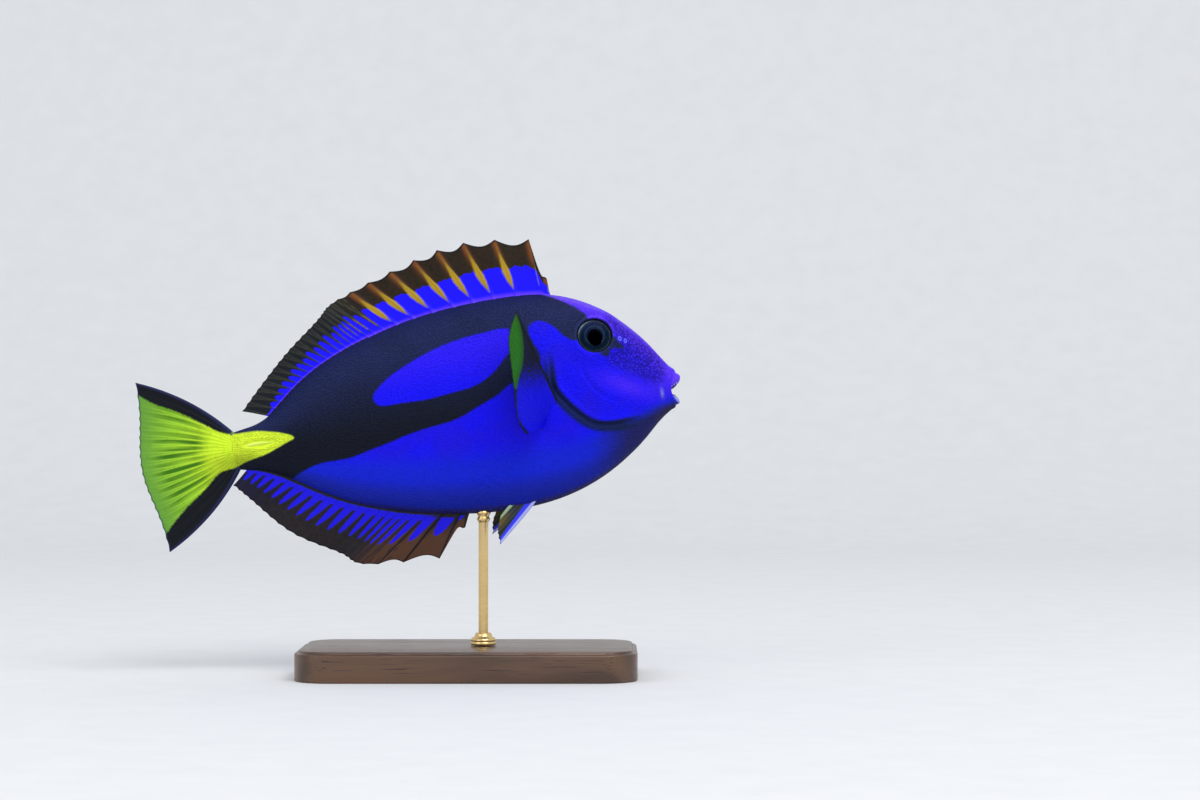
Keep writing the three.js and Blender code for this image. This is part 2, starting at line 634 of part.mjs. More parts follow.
foldedPelvic.rotateY(LEFT_PELVIC_FOLD).translate(pelvicX, 0, pelvicZ);
addNode(fish, "pelvic_fin_right", trimmed(pelvic), deepBlue);
addNode(fish, "pelvic_fin_left", trimmed(solidOf(foldedPelvic)), deepBlue);

export default model;
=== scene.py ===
"""Regal blue tang, life size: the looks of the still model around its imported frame.

Lengths are millimetres in the fish's own frame (x forward from the tail base, y to its left, z up)
until FishFrame.place turns them into metres in the row frame. The stand is in the row frame.
"""
import logging
import math
from dataclasses import dataclass
from enum import Enum
from functools import cached_property

import bmesh
import bpy
import numpy as np
from mathutils import Matrix, Vector
from mathutils.bvhtree import BVHTree


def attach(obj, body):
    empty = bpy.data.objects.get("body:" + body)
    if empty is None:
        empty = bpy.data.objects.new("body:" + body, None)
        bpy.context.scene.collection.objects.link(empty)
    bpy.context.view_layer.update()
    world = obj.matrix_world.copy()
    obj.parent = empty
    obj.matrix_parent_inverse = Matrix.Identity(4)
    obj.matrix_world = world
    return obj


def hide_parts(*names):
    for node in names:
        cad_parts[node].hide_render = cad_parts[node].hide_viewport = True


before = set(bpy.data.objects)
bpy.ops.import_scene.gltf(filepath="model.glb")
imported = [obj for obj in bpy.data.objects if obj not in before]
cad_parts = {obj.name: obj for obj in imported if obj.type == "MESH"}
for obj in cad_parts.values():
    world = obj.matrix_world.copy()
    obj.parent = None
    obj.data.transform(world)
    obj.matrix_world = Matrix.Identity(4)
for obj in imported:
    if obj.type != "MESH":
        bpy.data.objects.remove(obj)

log = logging.getLogger("regal_blue_tang")
MM = 0.001
SEED = 7
BEHIND_EYE = -4
Outline = tuple[tuple[float, float], ...]
Colour = tuple[float, ...]
Array = np.ndarray
Fields = dict[str, np.ndarray]
Piece = bpy.types.Object
Socket = bpy.types.NodeSocket
Material = bpy.types.Material


class Side(Enum):
    """A side of the fish, as the sign of y."""

    LEFT = 1
    RIGHT = -1

    @property
    def word(self) -> str:
        """Gives the side's name in small letters."""
        return self.name.lower()


class Slot(Enum):
    """The record's material slots."""

    SKIN_BLUE = "skin_blue"
    SKIN_BLACK = "skin_black"
    FIN_BLUE = "fin_blue"
    FIN_YELLOW = "fin_yellow"
    FIN_GREEN = "fin_green"
    EYE = "eye"
    BLADE = "blade"
    WOOD = "wood"
    BRASS = "brass"


def srgb(red: float, green: float, blue: float) -> Colour:
    """Turns a colour as seen, in 0 to 255, into the shader's linear colour.

    Args:
        red: Red, 0 to 255.
        green: Green, 0 to 255.
        blue: Blue, 0 to 255.

    Returns:
        The linear colour with an alpha of 1.
    """
    linear = []
    for level in (red, green, blue):
        share = level / 255
        linear.append(share / 12.92 if share <= 0.04045 else ((share + 0.055) / 1.055) ** 2.4)
    return (*linear, 1.0)


def ease(value: Array, low: float, high: float) -> Array:
    """Rises smoothly from 0 at low to 1 at high, or falls where low is above high."""
    share = np.clip((value - low) / (high - low), 0, 1)
    return share * share * (3 - 2 * share)


def hump(value: Array, middle: float, spread: float) -> Array:
    """A smooth hump of height 1 at the middle, fallen to about a third at the spread."""
    return np.exp(-(((value - middle) / spread) ** 2))


class Spline:
    """A natural cubic spline through values at rising knots."""

    def __init__(self, knots: list[float], values: list[float]) -> None:
        """Solves for the bends at the knots.

        Args:
            knots: The rising places.
            values: The value at each place.
        """
        self.knots = np.asarray(knots, float)
        self.values = np.asarray(values, float)
        steps = np.diff(self.knots)
        count = len(self.knots)
        matrix = np.eye(count)
        pulls = np.zeros(count)
        for i in range(1, count - 1):
            matrix[i, i - 1 : i + 2] = steps[i - 1], 2 * (steps[i - 1] + steps[i]), steps[i]
            rises = np.diff(self.values[i - 1 : i + 2]) / steps[i - 1 : i + 1]
            pulls[i] = 6 * (rises[1] - rises[0])
        self.bends = np.linalg.solve(matrix, pulls)

    def __call__(self, at: Array) -> Array:
        """Gives the curve's value.

        Args:
            at: Places along the knots.

        Returns:
            The value at each place.
        """
        at = np.asarray(at, float)
        i = np.clip(np.searchsorted(self.knots, at, side="right") - 1, 0, len(self.knots) - 2)
        step = self.knots[i + 1] - self.knots[i]
        far = (at - self.knots[i]) / step
        near = 1 - far
        bend = (near**3 - near) * self.bends[i] + (far**3 - far) * self.bends[i + 1]
        return near * self.values[i] + far * self.values[i + 1] + bend * step * step / 6


def moved(places: Array, matrix: Array) -> Array:
    """Moves places by a 4 by 4 matrix."""
    return places @ matrix[:3, :3].T + matrix[:3, 3]


def smooth_line(points: Outline, closed: bool, spacing: float = 1.6) -> Array:
    """Runs a smooth line through points in side view.

    Args:
        points: Places (x, z) that the line passes.
        closed: Whether the line comes back to its start.
        spacing: The rough distance between the points given back.

    Returns:
        Close points along the line.
    """
    turn = np.array(points + (points[:1] if closed else ()), float)
    if closed:
        turn = np.vstack([turn[-3:-1], turn, turn[1:3]])
    travelled = np.concatenate([[0], np.cumsum(np.hypot(*np.diff(turn, axis=0).T) ** 0.5)])
    start, end = (travelled[2], travelled[-3]) if closed else (0, travelled[-1])
    length = np.hypot(*np.diff(turn, axis=0).T).sum()
    at = np.linspace(start, end, max(8, int(length / spacing)))
    return np.column_stack([Spline(travelled, turn[:, 0])(at), Spline(travelled, turn[:, 1])(at)])


def line_distance(x: Array, z: Array, line: Array) -> tuple[Array, Array, Array]:
    """Measures how far places in side view are from a line.

    Args:
        x: The places' x.
        z: The places' z.
        line: The line's points.

    Returns:
        The distance, the side of the line (1 on its left) and the share of the way along it.
    """
    starts, steps = line[:-1], np.diff(line, axis=0)
    lengths = np.hypot(*steps.T)
    before = np.concatenate([[0], np.cumsum(lengths)])
    flat_x, flat_z = x.ravel(), z.ravel()
    result = np.empty((3, flat_x.size))
    for part in np.array_split(np.arange(flat_x.size), max(1, flat_x.size // 20000)):
        gap_x = flat_x[part, None] - starts[:, 0]
        gap_z = flat_z[part, None] - starts[:, 1]
        share = np.clip((gap_x * steps[:, 0] + gap_z * steps[:, 1]) / lengths**2, 0, 1)
        gaps = np.hypot(gap_x - share * steps[:, 0], gap_z - share * steps[:, 1])
        near = gaps.argmin(axis=1)
        rows = np.arange(part.size)
        turn = steps[near, 0] * gap_z[rows, near] - steps[near, 1] * gap_x[rows, near]
        along = (before[near] + share[rows, near] * lengths[near]) / before[-1]
        result[:, part] = gaps[rows, near], np.where(turn >= 0, 1, -1), along
    return tuple(row.reshape(x.shape) for row in result)


def inside_distance(x: Array, z: Array, outline: Array) -> Array:
    """Measures how deep places in side view lie inside a closed outline.

    Args:
        x: The places' x.
        z: The places' z.
        outline: The outline's points, the last on the first.

    Returns:
        The depth, below 0 outside.
    """
    inside = np.zeros(x.shape, bool)
    for (ax, az), (bx, bz) in zip(outline[:-1], outline[1:]):
        if az == bz:
            continue
        crosses = (az > z) != (bz > z)
        inside ^= crosses & (x < (bx - ax) * (z - az) / (bz - az) + ax)
    return np.where(inside, 1, -1) * line_distance(x, z, outline)[0]


@dataclass(frozen=True)
class FishFrame:
    """Where the fish stands in the row frame: nose up, over the middle of its stand."""

    pitch: float = math.radians(7.8)
    origin: tuple[float, float, float] = (-77.0953, 0.0, 74.8947)

    def place(self, points: Array) -> Array:
        """Puts fish millimetres into row metres.

        Args:
            points: Places in the fish's frame, one on each row.

        Returns:
            The places in the row frame.
        """
        x, y, z = np.moveaxis(np.asarray(points, float), -1, 0)
        cos, sin = math.cos(self.pitch), math.sin(self.pitch)
        turned = np.stack([x * cos - z * sin, y, x * sin + z * cos], axis=-1)
        return (turned + np.array(self.origin)) * MM

    def matrix(self) -> Matrix:
        """Gives the same placing as a matrix."""
        turn = Matrix.Rotation(-self.pitch, 4, "Y")
        return Matrix.Translation(Vector(self.origin) * MM) @ turn @ Matrix.Scale(MM, 4)


FISH = FishFrame()


class BodyForm:
    """The fish's body as slices from the tail base to the lips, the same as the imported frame's."""

    BACK_LINE: Outline = (
        (-1.6, 5.4), (3.2, 6.5), (9.8, 8.3), (17.7, 13.8), (27.8, 21.8), (42.1, 28.8), (59.6, 34.3),
        (76.8, 37.2), (93.6, 38.2), (108.9, 37.2), (120.9, 33.1), (129.8, 27.3), (137.4, 19.9),
        (142.2, 13.7), (145.6, 8.9), (147.9, 6.3), (149.3, 3.9),
    )
    BELLY_LINE: Outline = (
        (-2.2, -5.6), (2.0, -6.9), (8.9, -8.4), (16.5, -11.7), (25.1, -16.8), (37.1, -22.8),
        (51.9, -27.6), (66.6, -30.6), (81.5, -32.0), (96.9, -31.7), (110.6, -28.9), (122.7, -23.6),
        (133.4, -16.2), (139.9, -10.2), (144.2, -6.9), (146.6, -5.4), (148.1, -4.0),
    )
    HALF_WIDTH = (1.5, 2.7, 3.5, 4.9, 6.6, 8.6, 10.1, 10.9, 11.3, 11.4, 11.0, 9.9, 7.6, 5.6, 4.1, 3.3, 2.3)
    BACK_KEEL = (1, 1, 1.05, 1.1, 1.15, 1.2, 1.2, 1.2, 1.15, 1.05, 0.92, 0.84, 0.84, 0.9, 0.95, 1, 1)
    BELLY_KEEL = 1.02
    WIDEST_RISE = 0.05
    LAST = 16
    LIP_SLICES = 3
    MOUTH_SETBACK = 3.4
    # Slices inside the mouth: upper place, lower place, half width and how far the sides lie behind
    MOUTH = (
        ((149.3, 3.9), (148.1, -4.0), 2.3, 3.4),
        ((149.0, 2.8), (147.9, -3.1), 2.15, 3.3),
        ((147.9, 1.6), (147.2, -2.1), 1.95, 2.5),
        ((146.2, 0.4), (146.0, -1.2), 1.7, 1.1),
        ((143.6, 0.3), (143.4, -1.1), 1.2, 0.2),
        ((142.4, -0.2), (142.4, -0.6), 0.3, 0.0),
    )
    BEND_START = 66
    BEND_REACH = 100
    BEND_SWING = 6

    def __init__(self) -> None:
        """Runs the splines through the slices."""
        at = range(self.LAST + 1)
        inner = range(self.LAST, self.LAST + len(self.MOUTH))
        self.outer = self._tracks(at, self.BACK_LINE, self.BELLY_LINE, self.HALF_WIDTH)
        tops, feet, widths, setbacks = zip(*self.MOUTH)
        self.inner = self._tracks(inner, tops, feet, widths)
        self.inner_setback = Spline(inner, setbacks)
        self.keel = Spline(at, self.BACK_KEEL)
        self.last_inner = inner[-1]
        dense = np.linspace(0, self.LAST, 4000)
        self.back_track = np.column_stack([self.outer[0](dense), self.outer[1](dense)])
        self.belly_track = np.column_stack([self.outer[2](dense), self.outer[3](dense)])

    @staticmethod
    def _tracks(at: range, tops: Outline, feet: Outline, widths: tuple[float, ...]) -> list[Spline]:
        """Gives splines for a slice's top x and z, foot x and z, and half width."""
        lists = [*zip(*tops), *zip(*feet), widths]
        return [Spline(at, values) for values in lists]

    def swing(self, x: Array) -> Array:
        """Gives the sideways swing of the body at x."""
        return -self.BEND_SWING * np.maximum(0, (self.BEND_START - x) / self.BEND_REACH) ** 2

    def points(self, station: Array, angle: Array) -> Array:
        """Gives places on the plain body.

        Args:
            station: Slice numbers, past LAST inside the mouth.
            angle: Angles from the back over the left flank to the belly and round.

        Returns:
            The places in the fish's frame.
        """
        station, angle = np.broadcast_arrays(station, angle)
        inside = station > self.LAST
        top_x, top_z, foot_x, foot_z, width = (
            np.where(inside, inner(station), outer(np.minimum(station, self.LAST)))
            for outer, inner in zip(self.outer, self.inner)
        )
        share_out = np.maximum(0, (station - (self.LAST - self.LIP_SLICES)) / self.LIP_SLICES)
        setback = np.where(inside, self.inner_setback(station), self.MOUTH_SETBACK * share_out**2)
        level, across = np.cos(angle), np.sin(angle)
        keel = np.where(level > 0, self.keel(np.minimum(station, self.LAST)), self.BELLY_KEEL)
        keel = np.where(inside, 1, keel)
        share = level / 2 + self.WIDEST_RISE * (1 - level**2)
        x = (top_x + foot_x) / 2 + (top_x - foot_x) * share - setback * across**2
        z = (top_z + foot_z) / 2 + (top_z - foot_z) * share
        y = width * np.sign(across) * np.abs(across) ** keel
        return np.stack([x, y + self.swing(x), z], axis=-1)

    def normals(self, station: Array, angle: Array) -> Array:
        """Gives the outward directions of the plain body.

        Args:
            station: Slice numbers.
            angle: Angles round the slice.

        Returns:
            Unit directions in the fish's frame.
        """
        reach, turn = 0.02, 0.01
        ahead = self.points(station + reach, angle) - self.points(station - reach, angle)
        round_it = self.points(station, angle + turn) - self.points(station, angle - turn)
        out = np.cross(ahead, round_it)
        return out / np.maximum(np.linalg.norm(out, axis=-1, keepdims=True), 1e-9)

    def slice_numbers(self, step: float, first: float, last: float) -> Array:
        """Gives slice numbers a step apart, as measured along the back and the belly.

        Args:
            step: The mean distance between slices.
            first: The first slice number.
            last: The last slice number.

        Returns:
            Rising slice numbers.
        """
        dense = np.linspace(first, last, 3000)
        lengths = [
            np.linalg.norm(np.diff(self.points(dense, np.full(dense.shape, angle)), axis=0), axis=1)
            for angle in (0.0, math.pi)
        ]
        travelled = np.concatenate([[0], np.cumsum(np.mean(lengths, axis=0))])
        count = max(2, round(travelled[-1] / step) + 1)
        return np.interp(np.linspace(0, travelled[-1], count), travelled, dense)

    def back_height(self, x: Array) -> Array:
        """Gives the height of the back's midline at x."""
        return np.interp(x, self.back_track[:, 0], self.back_track[:, 1])

    def belly_height(self, x: Array) -> Array:
        """Gives the height of the belly's midline at x."""
        return np.interp(x, self.belly_track[:, 0], self.belly_track[:, 1])

    def flank(self, x: float, z: float) -> Array:
        """Gives the left flank's place nearest to (x, z) in side view."""
        station, angle = np.meshgrid(np.linspace(0, self.LAST, 400), np.linspace(0.02, math.pi - 0.02, 200))
        places = self.points(station, angle).reshape(-1, 3)
        return places[np.hypot(places[:, 0] - x, places[:, 2] - z).argmin()]


@dataclass(frozen=True)
class EyeSeat:
    """Where an eye sits: its ball's centre and the way that it looks."""

    side: Side
    centre_x: float = 122.8
    centre_z: float = 20.9
    dome: float = 3.4
    stand_out: float = 1.5
    roll: float = math.radians(15)
    turn: float = math.radians(8)

    def matrix(self, form: BodyForm) -> Matrix:
        """Gives the eye's own frame, with z looking out of the head, in the fish's frame."""
        sign = self.side.value
        middle = form.flank(self.centre_x, self.centre_z)[1] + self.stand_out - self.dome
        place = Matrix.Translation((self.centre_x, sign * middle, self.centre_z))
        turned = Matrix.Rotation(-sign * self.turn, 4, "Z") @ Matrix.Rotation(sign * self.roll, 4, "X")
        return place @ turned @ Matrix.Rotation(-sign * math.pi / 2, 4, "X")


class Markings:
    """The fish's pattern, painted light and shade, and its small reliefs, as fields over the body."""

    BAND: Outline = (
        (103.5, 40.5), (107.0, 37.6), (110.2, 36.2), (113.3, 34.5), (117.0, 32.2), (120.3, 29.4),
        (122.3, 27.1),
        (124.5, 22.0), (121.0, 17.5), (117.3, 19.5), (113.3, 22.3), (110.7, 25.4), (107.4, 28.0),
        (104.1, 28.5), (101.8, 26.6), (103.1, 21.1), (104.5, 16.8), (101.7, 11.2), (93.8, 9.3),
        (89.4, 6.5), (83.2, 3.8), (75.7, 0.6), (68.4, -0.9), (57.9, -2.7), (51.0, -4.6), (44.1, -6.2),
        (37.1, -7.8), (28.7, -8.1), (23.5, -9.3), (17.2, -12.5), (10.0, -20.0), (-8.0, -20.0),
        (-8.0, 20.0), (10.0, 26.0), (40.0, 44.0), (80.0, 50.0),
    )
    OVAL: Outline = (
        (96.2, 22.0), (95.5, 27.0), (88.9, 27.4), (78.6, 26.1), (68.2, 23.3), (61.1, 20.4),
        (53.9, 16.7), (49.4, 13.0), (48.1, 10.8), (49.4, 8.3), (56.0, 7.9), (66.1, 8.0), (73.9, 9.0),
        (81.1, 10.1), (88.0, 13.4), (93.0, 18.1),
    )
    WEDGE: Outline = (
        (-60.0, 43.5), (-29.4, 22.9), (-18.0, 15.6), (-7.6, 8.8), (-3.2, 6.1), (0.0, 5.4), (3.1, 5.3),
        (7.5, 5.3), (12.0, 4.6), (18.5, 2.8), (20.3, 1.4), (18.1, 0.4), (11.1, -2.4), (4.1, -4.1),
        (1.0, -5.2), (-1.2, -5.9), (-5.5, -6.6), (-11.0, -11.2), (-26.3, -24.7), (-60.0, -54.3),
    )
    GILL_LINE: Outline = (
        (106.6, 20.5), (107.4, 13.8), (107.3, 7.8), (109.3, 2.8), (113.9, -2.9), (118.4, -6.8),
        (124.8, -8.4), (134.3, -7.7),
    )
    CHEEK_LINE: Outline = ((116.5, 15.5), (117.6, 9.0), (121.0, 3.0), (126.5, -1.0), (133.0, -2.6))
    EYE_SPIKES: Outline = (
        (122.0, 17.0), (123.7, 14.8), (126.6, 13.7), (127.7, 15.8), (129.0, 16.4), (132.5, 15.5),
        (130.6, 18.3), (129.4, 21.2), (126.0, 21.0), (122.0, 17.0),
    )
    SNOUT: Outline = (
        (127.6, 27.6), (138.0, 18.0), (144.5, 8.6), (142.5, 3.2), (137.0, 5.0), (130.5, 8.8), (126.0, 13.0),
        (129.5, 17.5), (128.5, 22.5),
    )
    BLADE_HOLLOW = (8.6, 0.9)
    HOLLOW_SIZE = (5.6, 1.5)
    PECTORAL_MOUND = (105.2, -2.4)
    # The painted highlight on the cheek, a pale violet streak: its middle, the way it runs, and its half
    # length and width
    CHEEK_HIGHLIGHT = (131.5, 3.4)
    CHEEK_HIGHLIGHT_WAY = (0.893, -0.451)
    CHEEK_HIGHLIGHT_SIZE = (9.0, 2.8)
    # A painted highlight: the pale spot on the fold at the mouth's corner
    MOUTH_CORNER_HIGHLIGHT = (142.6, -0.4)
    # The skin is drawn onto a flat ring round each eye, fully inside the first radius
    ORBIT_FLAT = 6.6
    ORBIT_FADE = 11.5
    ORBIT_HEIGHT = 1.95

    def __init__(self, form: BodyForm, seats: tuple[EyeSeat, ...]) -> None:
        """Keeps the body's form and the eyes' frames.

        Args:
            form: The body's slices.
            seats: Where the eyes sit.
        """
        self.form = form
        self.eye_frames = [np.array(seat.matrix(form).inverted()) for seat in seats]
        self.eye_axes = [np.array(seat.matrix(form))[:3, 2] for seat in seats]
        closed = (self.BAND, self.OVAL, self.WEDGE, self.SNOUT)
        self.band, self.oval, self.wedge, self.snout = (smooth_line(line, True) for line in closed)
        self.gill, self.cheek_highlight = (smooth_line(line, False) for line in (self.GILL_LINE, self.CHEEK_LINE))

    def relief(self, station: Array, angle: Array, places: Array) -> Array:
        """Gives how far the skin stands out from the plain body.

        Args:
            station: Slice numbers.
            angle: Angles round the slice.
            places: The plain body's places there.

        Returns:
            The outward distance.
        """
        x, z = places[..., 0], places[..., 2]
        flank = ease(np.abs(np.sin(angle)), 0.05, 0.4) * (station <= self.form.LAST)
        far, side, along = line_distance(x, z, self.gill)
        across = far * side
        cover = ease(along, 0.02, 0.3) * ease(along, 1.0, 0.86)
        rise = 0.42 * hump(across, 0.95, 1.15) - 0.75 * hump(across, -0.55, 0.8)
        far, side, along = line_distance(x, z, self.cheek_highlight)
        crease = -0.16 * hump(far * side, 0, 0.7) + 0.12 * hump(far * side, 1.4, 1.2)
        crease *= ease(along, 0, 0.3) * ease(along, 1, 0.7)
        swell = 0.45 * hump(np.hypot(x - 128.5, (z - 3.5) * 0.9), 0, 7.5)
        swell -= 0.35 * hump(np.hypot((x - 135.5) * 0.6, z - 12.0), 0, 3.2)
        mound_x, mound_z = self.PECTORAL_MOUND
        swell += 0.5 * hump(np.hypot((x - mound_x) * 1.3, z - mound_z), 0, 4.2)
        deep = self.hollow_depth(x, z, *self.HOLLOW_SIZE)
        hollow = -0.42 * ease(deep, 1.05, 0.7) + 0.16 * hump(deep, 1.3, 0.3)
        lips = 0.28 * hump(station, 15.75, 0.28) - 0.22 * hump(station, 15.2, 0.17)
        lips += 0.16 * hump(station, 14.75, 0.3)
        return flank * (cover * rise + crease + swell + hollow) + lips * (station <= self.form.LAST + 0.6)

    def hollow_depth(self, x: Array, z: Array, half_length: float, half_height: float) -> Array:
        """Gives how far places are from the tail blade's middle, 1 on the edge of its hollow."""
        middle_x, middle_z = self.BLADE_HOLLOW
        return np.hypot((x - middle_x) / half_length, (z - middle_z) / half_height)

    def surface(self, station: Array, angle: Array, depth: float) -> Array:
        """Gives places on the finished skin.

        Args:
            station: Slice numbers.
            angle: Angles round the slice.
            depth: How far the skin lies inside the frame's flesh.

        Returns:
            The places in the fish's frame.
        """
        plain = self.form.points(station, angle)
        rise = self.relief(station, angle, plain) - depth
        places = plain + self.form.normals(station, angle) * rise[..., None]
        for axes, out in zip(self.eye_frames, self.eye_axes):
            local = moved(places, axes)
            weight = ease(np.hypot(local[..., 0], local[..., 1]), self.ORBIT_FADE, self.ORBIT_FLAT)
            weight = weight * (local[..., 2] > BEHIND_EYE)
            places = places + out * ((self.ORBIT_HEIGHT - local[..., 2]) * weight)[..., None]
        return places

    def eye_gap(self, places: Array) -> Array:
        """Gives how far places are from the nearer eye's axis."""
        gaps = []
        for axes in self.eye_frames:
            local = moved(places, axes)
            gaps.append(np.where(local[..., 2] > BEHIND_EYE, np.hypot(local[..., 0], local[..., 1]), 99))
        return np.minimum(*gaps)

    @staticmethod
    def tail_shade(x: Array, z: Array) -> Array:
        """Gives the painted shade under the tail's root, where the yellow darkens, on the skin and the tail
        fin alike.
        """
        return ease(z, 0.8, -4.0) * ease(x, 10.0, 4.0) * ease(x, -13.0, -4.0)

    def fields(self, station: Array, angle: Array, places: Array) -> Fields:
        """Gives the fields of the pattern and of the painted light and shade, which the skin's finish turns
        into colour.

        Args:
            station: Slice numbers.
            angle: Angles round the slice.
            places: The skin's places there, in the fish's frame.

        Returns:
            Field values by name.
        """
        x, z = places[..., 0], places[..., 2]
        level = np.cos(angle)
        oval = inside_distance(x, z, self.oval)
        spikes = inside_distance(x, z, np.array(self.EYE_SPIKES))
        band = np.minimum(inside_distance(x, z, self.band), -oval)
        far, side, along = line_distance(x, z, self.gill)
        across = far * side
        faded = ease(along, 0.0, 0.25) * ease(along, 1.05, 0.86)
        # Painted shade: a dark band along the gill opening, behind the cover's edge
        gill = ease(across, 1.6, 0.8) * ease(across, -3.2, -1.7) * faded
        below_back = self.form.back_height(x) - z
        # Painted highlight: the head's top under the back line, and the snout's front, made lighter violet
        # as if lit from above
        crown_highlight = ease(below_back, 11.0, 2.0) * ease(x, 104, 112)
        front = ease(x, 134, 147)
        cheek_x, cheek_z = self.CHEEK_HIGHLIGHT
        way_x, way_z = self.CHEEK_HIGHLIGHT_WAY
        half_long, half_wide = self.CHEEK_HIGHLIGHT_SIZE
        along_cheek = (x - cheek_x) * way_x + (z - cheek_z) * way_z
        across_cheek = (z - cheek_z) * way_x - (x - cheek_x) * way_z
        # Painted highlight at the mouth's corner, laid into the lower lip's field
        corner_x, corner_z = self.MOUTH_CORNER_HIGHLIGHT
        corner = 0.8 * hump(np.hypot((x - corner_x) / 0.5, (z - corner_z) / 1.5), 0, 1.0)
        return {
            "band": np.maximum(band, spikes),
            # Faces that look up: where the painted light from above goes, the band's sheen and the oval's
            # lighter top
            "back": ease(level, -0.3, 0.8),
            "oval": oval,
            "wedge": inside_distance(x, z, self.wedge),
            # Painted shade under the tail's root
            "under": self.tail_shade(x, z),
            "gill": gill,
            # Painted shadow: a dark line in the crease at the gill cover's edge
            "crease": hump(across, 0.75, 0.4) * faded,
            "crown_highlight": np.maximum(crown_highlight, front * 0.55 * ease(z, -5, 3)),
            # Painted highlight along the very top of the head
            "ridge": ease(level, 0.90, 0.995) * ease(x, 104, 110),
            # Painted shade: the underside darker downwards, partly the belly's own tint
            "belly": ease(level, -0.30, -0.97),
            # Painted shade: the darkest strip along the keel
            "keel": ease(level, -0.93, -0.995) * ease(x, 20, 60) * ease(x, 150, 138),
            "snout": ease(inside_distance(x, z, self.snout), -1.6, 2.2),
            # Painted highlight: a pale streak on the cheek
            "cheek_highlight": hump(np.hypot(along_cheek / half_long, across_cheek / half_wide), 0, 1.0),
            "chin": ease(x, 114, 132) * ease(z + 11 - (x - 118) * 0.29, 1.0, -3.0),
            "chin_tip": ease(x, 136, 146) * ease(z, -3.6, -6.0) * 0.8,
            "lip": ease(station, 15.35, 15.75),
            # The lower lip's pale rim, with the painted highlight at the mouth's corner
            "lower_lip": np.maximum(ease(station, 15.55, 15.9) * ease(level, 0.1, -0.4), corner),
            # Painted shade: the inside of the mouth darker further in
            "mouth": ease(station, 17.0, 18.6),
        }


